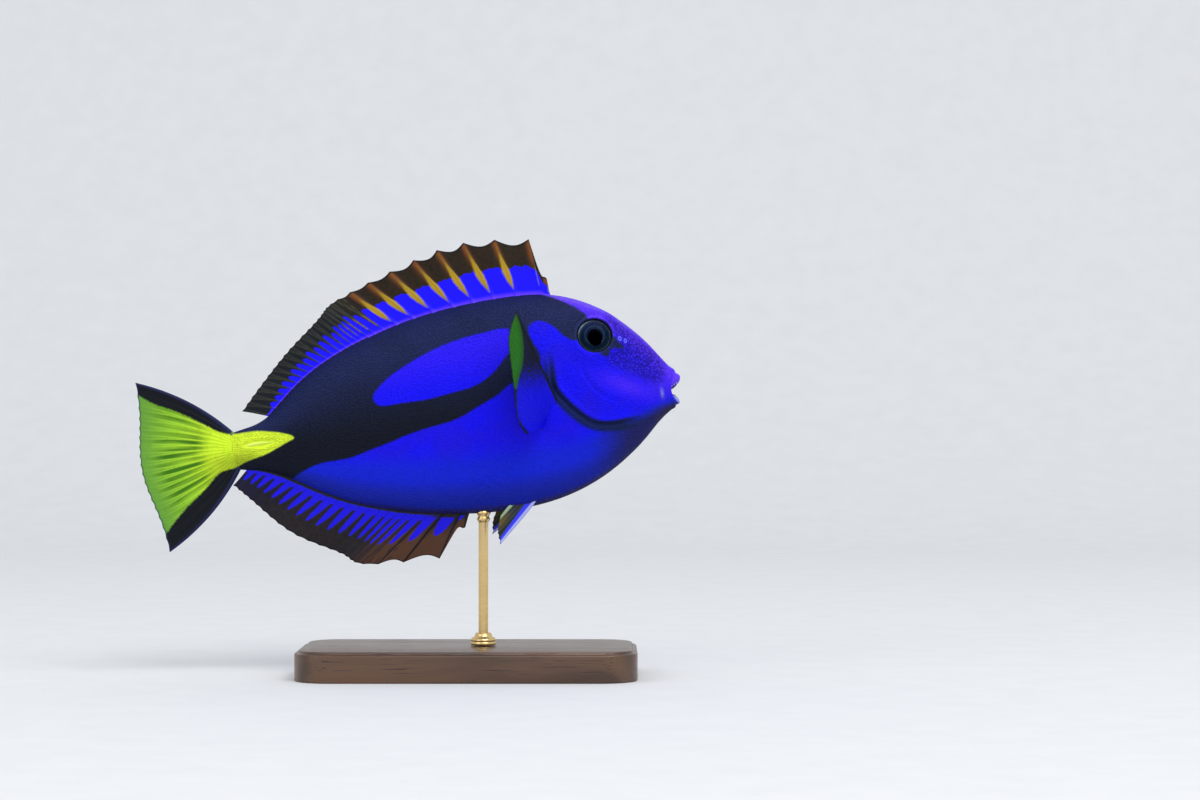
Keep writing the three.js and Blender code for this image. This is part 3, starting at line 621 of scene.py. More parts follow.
class Shader:
    """A material's node tree, wired in small steps."""

    def __init__(self, name: str) -> None:
        """Starts an empty node tree.

        Args:
            name: The material's name.
        """
        self.material = bpy.data.materials.new(name)
        self.material.use_nodes = True
        self.nodes = self.material.node_tree.nodes
        self.links = self.material.node_tree.links
        self.nodes.clear()

    def node(self, kind: str, inputs: dict[str | int, object], **settings: object) -> bpy.types.Node:
        """Adds a node and feeds its sockets.

        Args:
            kind: The node's type.
            inputs: Sockets or plain values by socket name or number.
            **settings: The node's own settings.

        Returns:
            The node.
        """
        made = self.nodes.new(kind)
        for name, value in settings.items():
            setattr(made, name, value)
        for name, value in inputs.items():
            if isinstance(value, Socket):
                self.links.new(value, made.inputs[name])
            else:
                made.inputs[name].default_value = value
        return made

    def field(self, name: str) -> Socket:
        """Reads a number stored on the piece."""
        return self.node("ShaderNodeAttribute", {}, attribute_name=name).outputs["Fac"]

    def place(self, name: str) -> Socket:
        """Reads a place stored on the piece, such as the one in fish millimetres."""
        return self.node("ShaderNodeAttribute", {}, attribute_name=name).outputs["Vector"]

    def object_place(self, stretch: tuple[float, float, float]) -> Socket:
        """Reads the place in the row frame, stretched on each axis."""
        place = self.node("ShaderNodeTexCoord", {}).outputs["Object"]
        return self.node("ShaderNodeMapping", {"Vector": place, "Scale": stretch}).outputs["Vector"]

    def noise(self, place: Socket, scale: float, detail: float = 2) -> Socket:
        """Gives smooth noise, 0 to 1."""
        sockets = {"Vector": place, "Scale": scale, "Detail": detail}
        return self.node("ShaderNodeTexNoise", sockets).outputs["Fac"]

    def cells(self, place: Socket, scale: float) -> Socket:
        """Gives the distance inside packed cells."""
        return self.node("ShaderNodeTexVoronoi", {"Vector": place, "Scale": scale}).outputs["Distance"]

    def ragged(self, place: Socket, scale: float, size: float) -> Socket:
        """Gives noise about 0 that roughens an outline."""
        return self.times(self.minus(self.noise(place, scale, 3), 0.5), size)

    def joints(self, scale: float) -> Socket:
        """Gives the bands that joint a fin's rays."""
        run = self.node("ShaderNodeCombineXYZ", {"X": self.field("run")}).outputs[0]
        return self.node("ShaderNodeTexWave", {"Vector": run, "Scale": scale}).outputs["Fac"]

    def math(self, operation: str, a: object, b: object) -> Socket:
        """Works out one step of arithmetic."""
        return self.node("ShaderNodeMath", {0: a, 1: b}, operation=operation).outputs[0]

    def times(self, a: object, b: object) -> Socket:
        """Multiplies."""
        return self.math("MULTIPLY", a, b)

    def plus(self, a: object, b: object) -> Socket:
        """Adds."""
        return self.math("ADD", a, b)

    def minus(self, a: object, b: object) -> Socket:
        """Takes b from a."""
        return self.math("SUBTRACT", a, b)

    def fade(self, value: object, low: float, high: float, start: float = 0, end: float = 1) -> Socket:
        """Eases a value from start at low to end at high."""
        sockets = {"Value": value, "From Min": low, "From Max": high, "To Min": start, "To Max": end}
        return self.node("ShaderNodeMapRange", sockets, interpolation_type="SMOOTHSTEP").outputs["Result"]

    def mix(self, share: object, first: object, second: object) -> Socket:
        """Mixes two colours."""
        return self.node("ShaderNodeMix", {0: share, 6: first, 7: second}, data_type="RGBA").outputs[2]

    def layers(self, colour: Socket, *coats: tuple[str, float, Colour]) -> Socket:
        """Lays colours over a colour, each where its field is and as strongly as given."""
        for name, strength, over in coats:
            colour = self.mix(self.times(self.field(name), strength), colour, over)
        return colour

    def bump(self, height: Socket, distance: float) -> Socket:
        """Turns heights into a bumped surface direction."""
        return self.node("ShaderNodeBump", {"Height": height, "Distance": distance}).outputs["Normal"]

    def surface(
        self, colour: Socket, rough: object, height: Socket, relief: float, **more: object
    ) -> Material:
        """Adds the main surface shader and gives the finished material.

        Args:
            colour: Its colour.
            rough: Its roughness.
            height: The heights of its fine relief.
            relief: How deep the relief is, in metres.
            **more: Its other sockets, with words joined by _.

        Returns:
            The material.
        """
        named = {name.replace("_", " "): value for name, value in more.items()}
        named |= {"Base Color": colour, "Roughness": rough, "Normal": self.bump(height, relief)}
        return self.done(self.node("ShaderNodeBsdfPrincipled", named).outputs[0])

    def done(self, surface: Socket) -> Material:
        """Wires the surface to the output and gives the material."""
        self.node("ShaderNodeOutputMaterial", {"Surface": surface})
        return self.material


@dataclass(frozen=True)
class SkinFinish:
    """Satin scaled skin with the fish's pattern and painted light and shade: a lighter head top, a sheen on
    the band and a darker underside.
    """

    flank: Colour = srgb(8, 0, 255)
    flank_shade: Colour = srgb(22, 6, 236)
    # Painted highlight: the head's top and its ridge, lighter violet as if lit from above
    crown_highlight: Colour = srgb(92, 48, 255)
    ridge: Colour = srgb(128, 92, 255)
    # Partly the belly's own tint and partly painted shade: the underside darker downwards, the keel darkest
    belly: Colour = srgb(6, 34, 226)
    low_belly_tint_and_shade: Colour = srgb(14, 34, 172)
    keel: Colour = srgb(36, 34, 92)
    oval: Colour = srgb(42, 16, 255)
    snout_pale: Colour = srgb(92, 48, 255)
    snout_dark: Colour = srgb(22, 6, 150)
    # Painted highlight on the cheek
    cheek_highlight: Colour = srgb(72, 34, 255)
    chin: Colour = srgb(24, 28, 100)
    chin_tip: Colour = srgb(40, 34, 58)
    # Painted shade along the gill opening
    gill: Colour = srgb(6, 30, 66)
    band: Colour = srgb(3, 11, 29)
    band_sheen: Colour = srgb(24, 36, 88)
    wedge: Colour = srgb(224, 250, 52)
    wedge_deep: Colour = srgb(186, 222, 38)
    # Painted shade: the yellow darker under the tail's root
    wedge_under_shade: Colour = srgb(132, 150, 20)
    lip: Colour = srgb(96, 60, 226)
    # The lower lip's pale rim, also used for the painted highlight at the mouth's corner
    lower_lip: Colour = srgb(150, 160, 214)
    # Painted shade inside the mouth
    mouth: Colour = srgb(26, 14, 30)

    def material(self) -> Material:
        """Builds the skin's material."""
        s = Shader("scaled skin")
        place = s.place("fish")
        broad = s.noise(place, 0.09, 3)
        patchy = s.noise(place, 0.55, 3)
        fine = s.noise(place, 3.2, 2)
        wobble = s.ragged(place, 0.9, 0.5)
        colour = s.mix(s.fade(broad, 0.35, 0.7), self.flank, self.flank_shade)
        # Painted highlight on the head's top and its ridge
        colour = s.layers(colour, ("crown_highlight", 1, self.crown_highlight), ("ridge", 0.8, self.ridge))
        # Painted shade: the belly darker downwards, partly its own tint
        colour = s.mix(s.fade(s.field("belly"), 0.0, 0.55), colour, self.belly)
        colour = s.mix(s.fade(s.field("belly"), 0.62, 1.0), colour, self.low_belly_tint_and_shade)
        # The keel's colour is painted shade along the underside's middle
        colour = s.layers(
            colour, ("keel", 1, self.keel), ("chin", 1, self.chin), ("chin_tip", 1, self.chin_tip),
            ("snout", 0.35, self.snout_dark),
        )
        granules = s.cells(place, 1.2)
        snout = s.field("snout")
        pale = s.times(snout, s.fade(granules, 0.42, 0.12))
        dark = s.times(snout, s.fade(granules, 0.38, 0.62))
        colour = s.mix(s.times(pale, 0.6), colour, self.snout_pale)
        colour = s.mix(s.times(dark, 0.7), colour, self.snout_dark)
        # Painted highlight: the pale streak on the cheek
        colour = s.layers(colour, ("cheek_highlight", 0.85, self.cheek_highlight))
        oval = s.fade(s.plus(s.field("oval"), wobble), -0.5, 0.5)
        # Painted light: the oval's blue turns violet on its upper side, as if lit from above
        lit = s.mix(s.fade(s.field("back"), 0.25, 0.9), self.flank, self.oval)
        colour = s.mix(oval, colour, lit)
        # Painted shade along the gill opening and a painted shadow line in the cover's crease
        colour = s.layers(colour, ("gill", 0.94, self.gill), ("crease", 0.85, self.band))
        band = s.fade(s.plus(s.field("band"), wobble), -0.45, 0.45)
        # Painted sheen: the band turns navy on its upper side, as if lit from above
        sheen = s.times(s.field("back"), s.fade(broad, 0.25, 0.7, 0.75, 1.0))
        black = s.mix(sheen, self.band, self.band_sheen)
        colour = s.mix(band, colour, black)
        yellow = s.mix(s.fade(patchy, 0.4, 0.8, 0.0, 0.5), self.wedge, self.wedge_deep)
        # Painted shade under the tail's root
        yellow = s.layers(yellow, ("under", 0.7, self.wedge_under_shade))
        wedge = s.fade(s.plus(s.field("wedge"), s.times(wobble, 0.6)), -0.35, 0.35)
        colour = s.mix(wedge, colour, yellow)
        # The lips, and painted shade inside the mouth
        colour = s.layers(
            colour, ("lip", 0.75, self.lip), ("lower_lip", 0.8, self.lower_lip), ("mouth", 1, self.mouth)
        )
        shade = s.fade(s.plus(s.field("tone"), s.times(fine, 0.5)), 0.15, 1.35, 0.0, 0.15)
        colour = s.mix(shade, colour, self.band)
        roughness = s.fade(s.plus(patchy, fine), 0.6, 1.4, 0.4, 0.56)
        height = s.plus(s.times(fine, 0.6), s.noise(place, 9.0, 1))
        height = s.minus(height, s.times(s.times(granules, snout), 3.0))
        return s.surface(colour, roughness, height, 0.00005, Specular_IOR_Level=0.16)


@dataclass(frozen=True)
class FinColours:
    """The colours of a rayed fin."""

    name: str
    membrane: Colour
    flame: Colour
    base: Colour
    streak: Colour
    tip: Colour
    margin: Colour
    ray: Colour
    seam: Colour
    rear: Colour
    streak_edge: float = 0.8

    def material(self) -> Material:
        """Builds the fin's material from the fields that the fin's mesh carries."""
        s = Shader(self.name)
        place = s.place("fish")
        mottle = s.noise(place, 0.8, 3)
        fine = s.noise(place, 5.0, 2)
        grit = s.ragged(place, 1.6, 0.8)
        web = s.mix(s.field("rear"), self.membrane, self.rear)
        colour = s.mix(s.fade(mottle, 0.35, 0.7, 0.0, 0.5), web, self.margin)
        ray_share = s.fade(s.field("rear"), 0.0, 1.0, 0.5, 0.24)
        colour = s.mix(s.times(s.field("ray_line"), ray_share), colour, self.ray)
        colour = s.layers(colour, ("tip", 0.9, self.tip))
        blue = s.mix(s.fade(s.field("height"), 0.0, 0.1), self.base, self.flame)
        colour = s.mix(s.fade(s.plus(s.field("lobe"), grit), -0.28, 0.28), colour, blue)
        soft_grit = s.times(grit, 0.5)
        edge = s.fade(s.field("streak"), -0.1, self.streak_edge, 0.45, 0.0)
        shade = s.math("MAXIMUM", edge, s.times(s.field("ray_line"), 0.24))
        streak = s.mix(shade, self.streak, self.margin)
        colour = s.mix(s.fade(s.plus(s.field("streak"), soft_grit), -0.22, 0.36), colour, streak)
        colour = s.mix(s.fade(s.field("seam"), -0.2, 0.25), colour, self.seam)
        colour = s.mix(s.fade(s.field("margin"), -0.15, 0.45), colour, self.margin)
        joints = s.joints(0.42)
        ribs = s.times(s.field("ray_line"), joints)
        height = s.plus(s.times(ribs, 0.7), s.times(fine, 0.5))
        return s.surface(
            colour, s.fade(mottle, 0.3, 0.7, 0.38, 0.52), height, 0.00006, Specular_IOR_Level=0.16,
            Subsurface_Weight=0.12, Subsurface_Radius=(1.0, 1.0, 1.0), Subsurface_Scale=0.0005,
        )


@dataclass(frozen=True)
class TailFinish:
    """Lemon yellow fan with green grooves, black edges and painted shade under its root."""

    bright: Colour = srgb(198, 230, 38)
    middle: Colour = srgb(152, 204, 46)
    outer: Colour = srgb(98, 152, 54)
    # Painted shade: the fan's yellow darker under the tail's root
    under: Colour = srgb(132, 150, 24)
    groove: Colour = srgb(52, 108, 6)
    black: Colour = srgb(2, 7, 17)
    edge: Colour = srgb(30, 36, 84)

    def material(self) -> Material:
        """Builds the tail fin's material."""
        s = Shader("tail fin")
        place = s.place("fish")
        mottle = s.noise(place, 0.7, 3)
        fine = s.noise(place, 5.0, 2)
        grit = s.ragged(place, 1.3, 0.9)
        colour = s.mix(s.fade(s.field("height"), 0.12, 0.7), self.bright, self.middle)
        colour = s.mix(s.fade(s.field("height"), 0.62, 1.0), colour, self.outer)
        # Painted shade under the tail's root
        colour = s.layers(colour, ("under", 0.6, self.under))
        hollow = s.minus(1.0, s.field("ray_line"))
        fan = s.place("fan")
        grooves = s.noise(fan, 0.7, 2)
        middle = s.times(s.fade(s.field("height"), 0.2, 0.42), s.fade(s.field("height"), 1.0, 0.72))
        deep = s.times(hollow, s.times(middle, s.fade(grooves, 0.32, 0.62, 0.25, 1.0)))
        colour = s.mix(deep, colour, self.groove)
        colour = s.mix(s.times(s.fade(mottle, 0.5, 0.8), 0.25), colour, self.groove)
        colour = s.mix(s.fade(s.plus(s.field("black"), grit), -0.4, 0.4), colour, self.black)
        colour = s.mix(s.times(s.fade(s.field("rim"), 0.8, 0.1), 0.7), colour, self.edge)
        joints = s.joints(0.4)
        height = s.plus(s.times(s.times(s.field("ray_line"), joints), 0.8), fine)
        return s.surface(
            colour, s.fade(mottle, 0.3, 0.7, 0.4, 0.55), height, 0.00006, Specular_IOR_Level=0.16,
            Subsurface_Weight=0.12, Subsurface_Radius=(1.0, 1.0, 0.6), Subsurface_Scale=0.0006,
        )


@dataclass(frozen=True)
class PlainFinish:
    """A finish of two mottled colours with fine grain, for small parts."""

    name: str
    light: Colour
    dark: Colour
    rough: tuple[float, float]
    grain: float = 900.0
    relief: float = 0.00003
    metallic: float = 0.0
    coat: float = 0.0
    stretch: tuple[float, float, float] = (1.0, 1.0, 1.0)

    def material(self) -> Material:
        """Builds the material."""
        s = Shader(self.name)
        place = s.object_place(self.stretch)
        mottle = s.noise(place, self.grain * 0.25, 3)
        fine = s.noise(place, self.grain, 3)
        colour = s.mix(s.fade(mottle, 0.3, 0.7), self.light, self.dark)
        return s.surface(
            colour, s.fade(fine, 0.3, 0.7, *self.rough), fine, self.relief,
            Metallic=self.metallic, Coat_Weight=self.coat, Coat_Roughness=0.05,
        )


@dataclass(frozen=True)
class WalnutFinish:
    """Oiled dark walnut with its grain along the base."""

    pale: Colour = (0.11, 0.052, 0.025, 1.0)
    dark: Colour = (0.05, 0.023, 0.012, 1.0)
    pore: Colour = (0.012, 0.006, 0.003, 1.0)

    def material(self) -> Material:
        """Builds the wood's material."""
        s = Shader("walnut")
        flow = s.object_place((7.0, 46.0, 46.0))
        rings = s.node(
            "ShaderNodeTexWave",
            {"Vector": flow, "Scale": 0.8, "Distortion": 14.0, "Detail": 4.0, "Detail Scale": 0.7},
            bands_direction="Y",
        ).outputs["Fac"]
        cloud = s.noise(s.object_place((20.0, 120.0, 120.0)), 1.0, 4)
        pores = s.noise(s.object_place((60.0, 2400.0, 2400.0)), 1.0, 2)
        figure = s.plus(s.times(rings, 0.45), cloud)
        colour = s.mix(s.fade(figure, 0.35, 1.05), self.dark, self.pale)
        open_pore = s.fade(pores, 0.6, 0.7)
        colour = s.mix(s.times(open_pore, 0.75), colour, self.pore)
        height = s.minus(s.times(rings, 0.2), open_pore)
        rough = s.fade(s.plus(cloud, open_pore), 0.3, 1.3, 0.3, 0.55)
        return s.surface(colour, rough, height, 0.00006, Coat_Weight=0.15, Coat_Roughness=0.3)


@dataclass(frozen=True)
class EyeFinish:
    """Dark glossy eye with a slate iris and a pale ring."""

    iris: Colour = srgb(8, 24, 40)
    iris_top: Colour = srgb(24, 32, 66)
    fleck: Colour = srgb(36, 52, 80)
    pupil: Colour = srgb(1, 1, 3)
    ring: Colour = srgb(50, 66, 92)
    limbus: Colour = srgb(7, 16, 18)
    gleam: Colour = srgb(150, 172, 186)
    pupil_half: tuple[float, float] = (2.4, 2.85)

    def ball(self) -> Material:
        """Builds the iris and pupil's material."""
        s = Shader("eye ball")
        radius = s.field("radius")
        spoke = s.place("spoke")
        fibres = s.noise(spoke, 3.0, 4)
        colour = s.mix(s.times(s.field("upper"), 0.9), self.iris, self.iris_top)
        colour = s.mix(s.times(s.fade(fibres, 0.5, 0.8), 0.5), colour, self.fleck)
        rim = s.times(s.fade(radius, 2.9, 3.1), s.fade(radius, 3.5, 3.25))
        colour = s.mix(s.times(rim, 0.45), colour, self.ring)
        colour = s.mix(s.fade(radius, 5.0, 5.5), colour, self.limbus)
        colour = s.mix(s.field("gleam"), colour, self.gleam)
        colour = s.mix(s.fade(s.field("pupil"), -0.12, 0.12), colour, self.pupil)
        rough = s.fade(fibres, 0.2, 0.8, 0.3, 0.5)
        return s.surface(colour, rough, fibres, 0.00008, Specular_IOR_Level=0.0)

    def cornea(self) -> Material:
        """Builds the clear dome's material, which only adds gloss over what lies under it."""
        s = Shader("eye cornea")
        smear = s.noise(s.object_place((1.0, 1.0, 1.0)), 700.0, 2)
        gloss = s.node("ShaderNodeBsdfGlossy", {"Roughness": s.fade(smear, 0.3, 0.7, 0.1, 0.16)}).outputs[0]
        clear = s.node("ShaderNodeBsdfTransparent", {}).outputs[0]
        facing = s.node("ShaderNodeLayerWeight", {"Blend": 0.5}).outputs["Facing"]
        share = s.times(s.math("POWER", facing, 3.0), 0.16)
        return s.done(s.node("ShaderNodeMixShader", {0: share, 1: clear, 2: gloss}).outputs[0])


def select(*pieces: Piece) -> None:
    """Leaves edit mode and selects these pieces only, the first of them active."""
    if bpy.context.mode != "OBJECT":
        bpy.ops.object.mode_set(mode="OBJECT")
    bpy.ops.object.select_all(action="DESELECT")
    for piece in pieces:
        piece.select_set(True)
        bpy.context.view_layer.objects.active = pieces[0]


def join(pieces: list[Piece], name: str) -> Piece:
    """Joins pieces into the first one and names it."""
    select(*pieces)
    bpy.ops.object.join()
    pieces[0].name = name
    return pieces[0]


def add_object(name: str, data: bpy.types.ID) -> Piece:
    """Adds an object to the scene."""
    made = bpy.data.objects.new(name, data)
    bpy.context.scene.collection.objects.link(made)
    return made


def take_new(name: str) -> Piece:
    """Names the object that was just added."""
    piece = bpy.context.object
    piece.name = name
    piece.data.name = name
    return piece


def settle(piece: Piece, matrix: Matrix) -> None:
    """Moves a piece's mesh by a matrix and leaves its object at the origin.

    Args:
        piece: The piece.
        matrix: Where its mesh goes.
    """
    bpy.context.view_layer.update()
    piece.data.transform(matrix @ piece.matrix_world)
    piece.matrix_world = Matrix.Identity(4)
    if matrix.determinant() < 0:
        piece.data.flip_normals()


def store(piece: Piece, fields: Fields) -> None:
    """Stores fields on a piece's points.

    Args:
        piece: The piece.
        fields: Numbers, or places in rows of three, by name.
    """
    for name, values in fields.items():
        vector = values.ndim > 1 and values.shape[-1] == 3
        kind, key = ("FLOAT_VECTOR", "vector") if vector else ("FLOAT", "value")
        layer = piece.data.attributes.new(name, kind, "POINT")
        layer.data.foreach_set(key, np.ascontiguousarray(values, np.float32).ravel())


def in_edit_mode(piece: Piece) -> None:
    """Makes a piece the only one selected, in edit mode, with all of its mesh selected."""
    select(piece)
    bpy.ops.object.mode_set(mode="EDIT")
    bpy.ops.mesh.select_all(action="SELECT")


def smooth_outwards() -> None:
    """Turns every face outwards and leaves edit mode with smooth shading."""
    bpy.ops.mesh.select_all(action="SELECT")
    bpy.ops.mesh.normals_make_consistent(inside=False)
    bpy.ops.object.mode_set(mode="OBJECT")
    bpy.ops.object.shade_smooth()


def wrapped_grid(name: str, places: Array, fields: Fields, chart: Array) -> Piece:
    """Adds a grid, bends it onto places and welds the edges that meet.

    Args:
        name: The piece's name.
        places: Places in the fish's frame, rows by columns by 3.
        fields: Fields over the same rows and columns.
        chart: The grid's map, rows by columns by 2.

    Returns:
        The piece, its faces pointing outwards.
    """
    rows, columns = places.shape[:2]
    select()
    bpy.ops.mesh.primitive_grid_add(x_subdivisions=columns - 1, y_subdivisions=rows - 1, size=1)
    piece = take_new(name)
    piece.data.vertices.foreach_set("co", FISH.place(places).astype(np.float32).ravel())
    store(piece, {"fish": places.reshape(-1, 3), **{k: flat(v) for k, v in fields.items()}})
    corners = np.empty(len(piece.data.loops), np.int32)
    piece.data.loops.foreach_get("vertex_index", corners)
    while piece.data.uv_layers:
        piece.data.uv_layers.remove(piece.data.uv_layers[0])
    layer = piece.data.uv_layers.new(name="OFBake")
    layer.data.foreach_set("uv", chart.reshape(-1, 2)[corners].astype(np.float32).ravel())
    in_edit_mode(piece)
    bpy.ops.mesh.remove_doubles(threshold=1e-6)
    smooth_outwards()
    return piece


def flat(field: Array) -> Array:
    """Lays a field over rows and columns out in one list, of numbers or of places."""
    return field.reshape(-1, 3) if field.ndim == 3 else field.ravel()


def unit_chart(rows: int, columns: int) -> Array:
    """Gives a map that fills the unit square, rows by columns by 2."""
    across, up = np.meshgrid(np.linspace(0.01, 0.99, columns), np.linspace(0.01, 0.99, rows))
    return np.stack([across, up], axis=-1)


def turned(name: str, profile: Outline, segments: int) -> Piece:
    """Turns a profile about the z axis: a circle is extruded and resized ring by ring.

    Args:
        name: The piece's name.
        profile: Rings as (radius, height), from one end to the other.
        segments: Points round each ring.

    Returns:
        The piece, closed at both ends where the profile ends in a small radius.
    """
    select()
    radius, height = profile[0]
    bpy.ops.mesh.primitive_circle_add(vertices=segments, radius=radius, location=(0, 0, height))
    piece = take_new(name)
    settle(piece, Matrix.Identity(4))
    in_edit_mode(piece)
    for next_radius, next_height in profile[1:]:
        move = {"value": (0, 0, next_height - height)}
        bpy.ops.mesh.extrude_edges_move(TRANSFORM_OT_translate=move)
        grow = next_radius / radius
        bpy.ops.transform.resize(value=(grow, grow, 1), center_override=(0, 0, next_height))
        radius, height = next_radius, next_height
    bpy.ops.mesh.edge_face_add()
    bpy.ops.mesh.select_all(action="DESELECT")
    bpy.ops.mesh.select_non_manifold()
    bpy.ops.mesh.edge_face_add()
    smooth_outwards()
    return piece


def dress(piece: Piece, material: Material, slot: Slot, *stands_for: str) -> Piece:
    """Gives a piece its finish, hangs it under the root body and hides the CAD parts that it replaces.

    Args:
        piece: The piece.
        material: Its finish.
        slot: The record's material slot; not used.
        *stands_for: CAD nodes that it replaces.

    Returns:
        The piece.
    """
    piece.data.materials.clear()
    piece.data.materials.append(material)
    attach(piece, "root")
    if stands_for:
        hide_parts(*stands_for)
    return piece


@dataclass
class Skin:
    """The one skin over the body, from the tail base to the inside of the mouth."""

    form: BodyForm
    markings: Markings
    seats: tuple[EyeSeat, ...]
    depth: float = 0.06
    ring_step: float = 0.62
    lip_step: float = 0.3
    lip_start: float = 14.4
    columns: int = 240
    orbit: float = 6.7
    # The eyelid's rings: distance from the eye's axis and height over the ball's middle
    lid: Outline = ((6.45, 2.13), (6.2, 2.2), (5.98, 2.08), (5.8, 1.75), (5.72, 1.36), (5.9, 0.6))
    socket: Outline = ((5.6, -1.6), (3.6, -3.4), (0.3, -3.9))

    @cached_property
    def angles(self) -> Array:
        """Gives angles that are even along a slice's edge, from the belly round to the belly."""
        dense = np.linspace(math.pi, 3 * math.pi, 2000)
        steps = np.hypot(35 * np.diff(np.cos(dense)), 11 * np.diff(np.sin(dense)))
        travelled = np.concatenate([[0], np.cumsum(steps)])
        return np.interp(np.linspace(0, travelled[-1], self.columns + 1), travelled, dense)

    @cached_property
    def rings(self) -> Array:
        """Gives the slice numbers of the skin's rings, closer together at the lips."""
        body = self.form.slice_numbers(self.ring_step, 0, self.lip_start)[:-1]
        mouth = self.form.slice_numbers(self.lip_step, self.lip_start, self.form.last_inner)
        return np.concatenate([body, mouth])

    def chart(self, station: Array, angle: Array) -> Array:
        """Gives places on the skin's flat map.

        Args:
            station: Slice numbers.
            angle: Angles round the slices.

        Returns:
            The places on the map.
        """
        row, column = self.grid_place(station, angle)
        along = 0.01 + 0.78 * row / (self.rings.size - 1)
        return np.stack([along, 0.01 + 0.98 * column / (self.angles.size - 1)], axis=-1)

    def grid_place(self, station: Array, angle: Array) -> tuple[Array, Array]:
        """Finds the row and column of the skin's grid, with fractions, at slice numbers and angles."""
        turned = (angle - math.pi) % math.tau + math.pi
        row = np.interp(station, self.rings, np.arange(self.rings.size))
        return row, np.interp(turned, self.angles, np.arange(self.angles.size))

    @cached_property
    def grid(self) -> tuple[Array, Array, Array]:
        """Gives the slice numbers, angles and places of the skin's grid, rings by angles."""
        station, angle = np.meshgrid(self.rings, self.angles, indexing="ij")
        return station, angle, self.markings.surface(station, angle, self.depth)

    @cached_property
    def pattern(self) -> Fields:
        """Gives the pattern's fields over the skin's grid."""
        return self.markings.fields(*self.grid)

    def read_pattern(self, station: Array, angle: Array) -> Fields:
        """Reads the pattern between the points of the skin's grid.

        Args:
            station: Slice numbers.
            angle: Angles round the slices.

        Returns:
            The fields by name.
        """
        row, column = self.grid_place(station, angle)
        r = np.minimum(row.astype(int), self.rings.size - 2)
        c = np.minimum(column.astype(int), self.angles.size - 2)
        down, right = row - r, column - c
        read = {}
        for name, field in self.pattern.items():
            near = field[r, c] * (1 - right) + field[r, c + 1] * right
            far = field[r + 1, c] * (1 - right) + field[r + 1, c + 1] * right
            read[name] = near * (1 - down) + far * down
        return read

    def build(self, material: Material) -> Piece:
        """Builds the skin.

        Args:
            material: Its finish.

        Returns:
            The skin.
        """
        station, _, places = self.grid
        fields = {**self.pattern, "tone": np.full(station.shape, 0.5)}
        chart = unit_chart(*station.shape)[..., ::-1] * (0.79, 1) + (0.002, 0)
        cap = places[0].mean(axis=0) - (1.2, 0, 0)
        places = np.concatenate([np.broadcast_to(cap, (1, *places.shape[1:])), places])
        end = np.broadcast_to(places[-1].mean(axis=0), (1, *places.shape[1:]))
        places = np.concatenate([places, end])
        fields = {name: np.concatenate([v[:1], v, v[-1:]]) for name, v in fields.items()}
        chart = np.concatenate([chart[:1] - (0.005, 0), chart, chart[-1:] + (0.005, 0)])
        skin = wrapped_grid("skin", places, fields, chart)
        for seat in self.seats:
            self.open_orbit(skin, seat)
        return dress(
            skin, material, Slot.SKIN_BLUE,
            "head", "jaw_upper", "jaw_lower", "gill_cover_left", "gill_cover_right", "trunk", "tail_base",
        )

    @staticmethod
    def axis_gap(local: Vector) -> float:
        """Gives how far a place in the eye's frame is from its axis, or a lot on the head's other side."""
        return math.hypot(local.x, local.y) if local.z > BEHIND_EYE else math.inf

    def open_orbit(self, skin: Piece, seat: EyeSeat) -> None:
        """Cuts the hole for an eye and rolls its edge into a lid and a socket.

        Args:
            skin: The skin.
            seat: Where the eye sits.
        """
        to_row = FISH.matrix() @ seat.matrix(self.form)
        to_eye = to_row.inverted()
        out = (to_row.to_3x3() @ Vector((0, 0, 1))).normalized()
        mesh = bmesh.new()
        mesh.from_mesh(skin.data)
        tree = BVHTree.FromBMesh(mesh)
        dark = mesh.verts.layers.float["band"]
        near = [vert for vert in mesh.verts if self.axis_gap(to_eye @ vert.co) < self.orbit]
        bmesh.ops.delete(mesh, geom=near, context="VERTS")
        reach = self.orbit + 3
        open_edges = [edge for edge in mesh.edges if edge.is_boundary]
        rim = [edge for edge in open_edges if self.axis_gap(to_eye @ edge.verts[0].co) < reach]
        for vert in {vert for edge in rim for vert in edge.verts}:
            local = to_eye @ vert.co
            share = self.orbit / math.hypot(local.x, local.y)
            start = to_row @ Vector((local.x * share, local.y * share, 12))
            hit = tree.ray_cast(start, -out)[0]
            vert.co = hit if hit is not None else vert.co
        chart = mesh.loops.layers.uv["OFBake"]
        column = 0.84 if seat.side is Side.LEFT else 0.93
        for count, (radius, height) in enumerate(self.lid + self.socket):
            made = bmesh.ops.extrude_edge_only(mesh, edges=rim)["geom"]
            rim = [part for part in made if isinstance(part, bmesh.types.BMEdge)]
            fresh = {vert for edge in rim for vert in edge.verts}
            for vert in fresh:
                local = to_eye @ vert.co
                share = radius / math.hypot(local.x, local.y)
                vert.co = to_row @ Vector((local.x * share, local.y * share, height))
                # Painted shade: the lid's inner rings and the socket are painted darker further into the
                # gap round the eye, through the band's field
                vert[dark] = max(vert[dark], (count - 2) * 0.3)
            for face in {face for edge in rim for face in edge.link_faces}:
                for loop in face.loops:
                    local = to_eye @ loop.vert.co
                    row = count + (loop.vert in fresh)
                    turn = math.atan2(local.y, local.x) / math.tau + 0.5
                    loop[chart].uv = (column + row * 0.006, 0.02 + 0.96 * turn)
            rim = [edge for edge in rim if edge.is_boundary]
        bmesh.ops.contextual_create(mesh, geom=rim)
        bmesh.ops.recalc_face_normals(mesh, faces=mesh.faces)
        mesh.to_mesh(skin.data)
        mesh.free()
        skin.data.update()


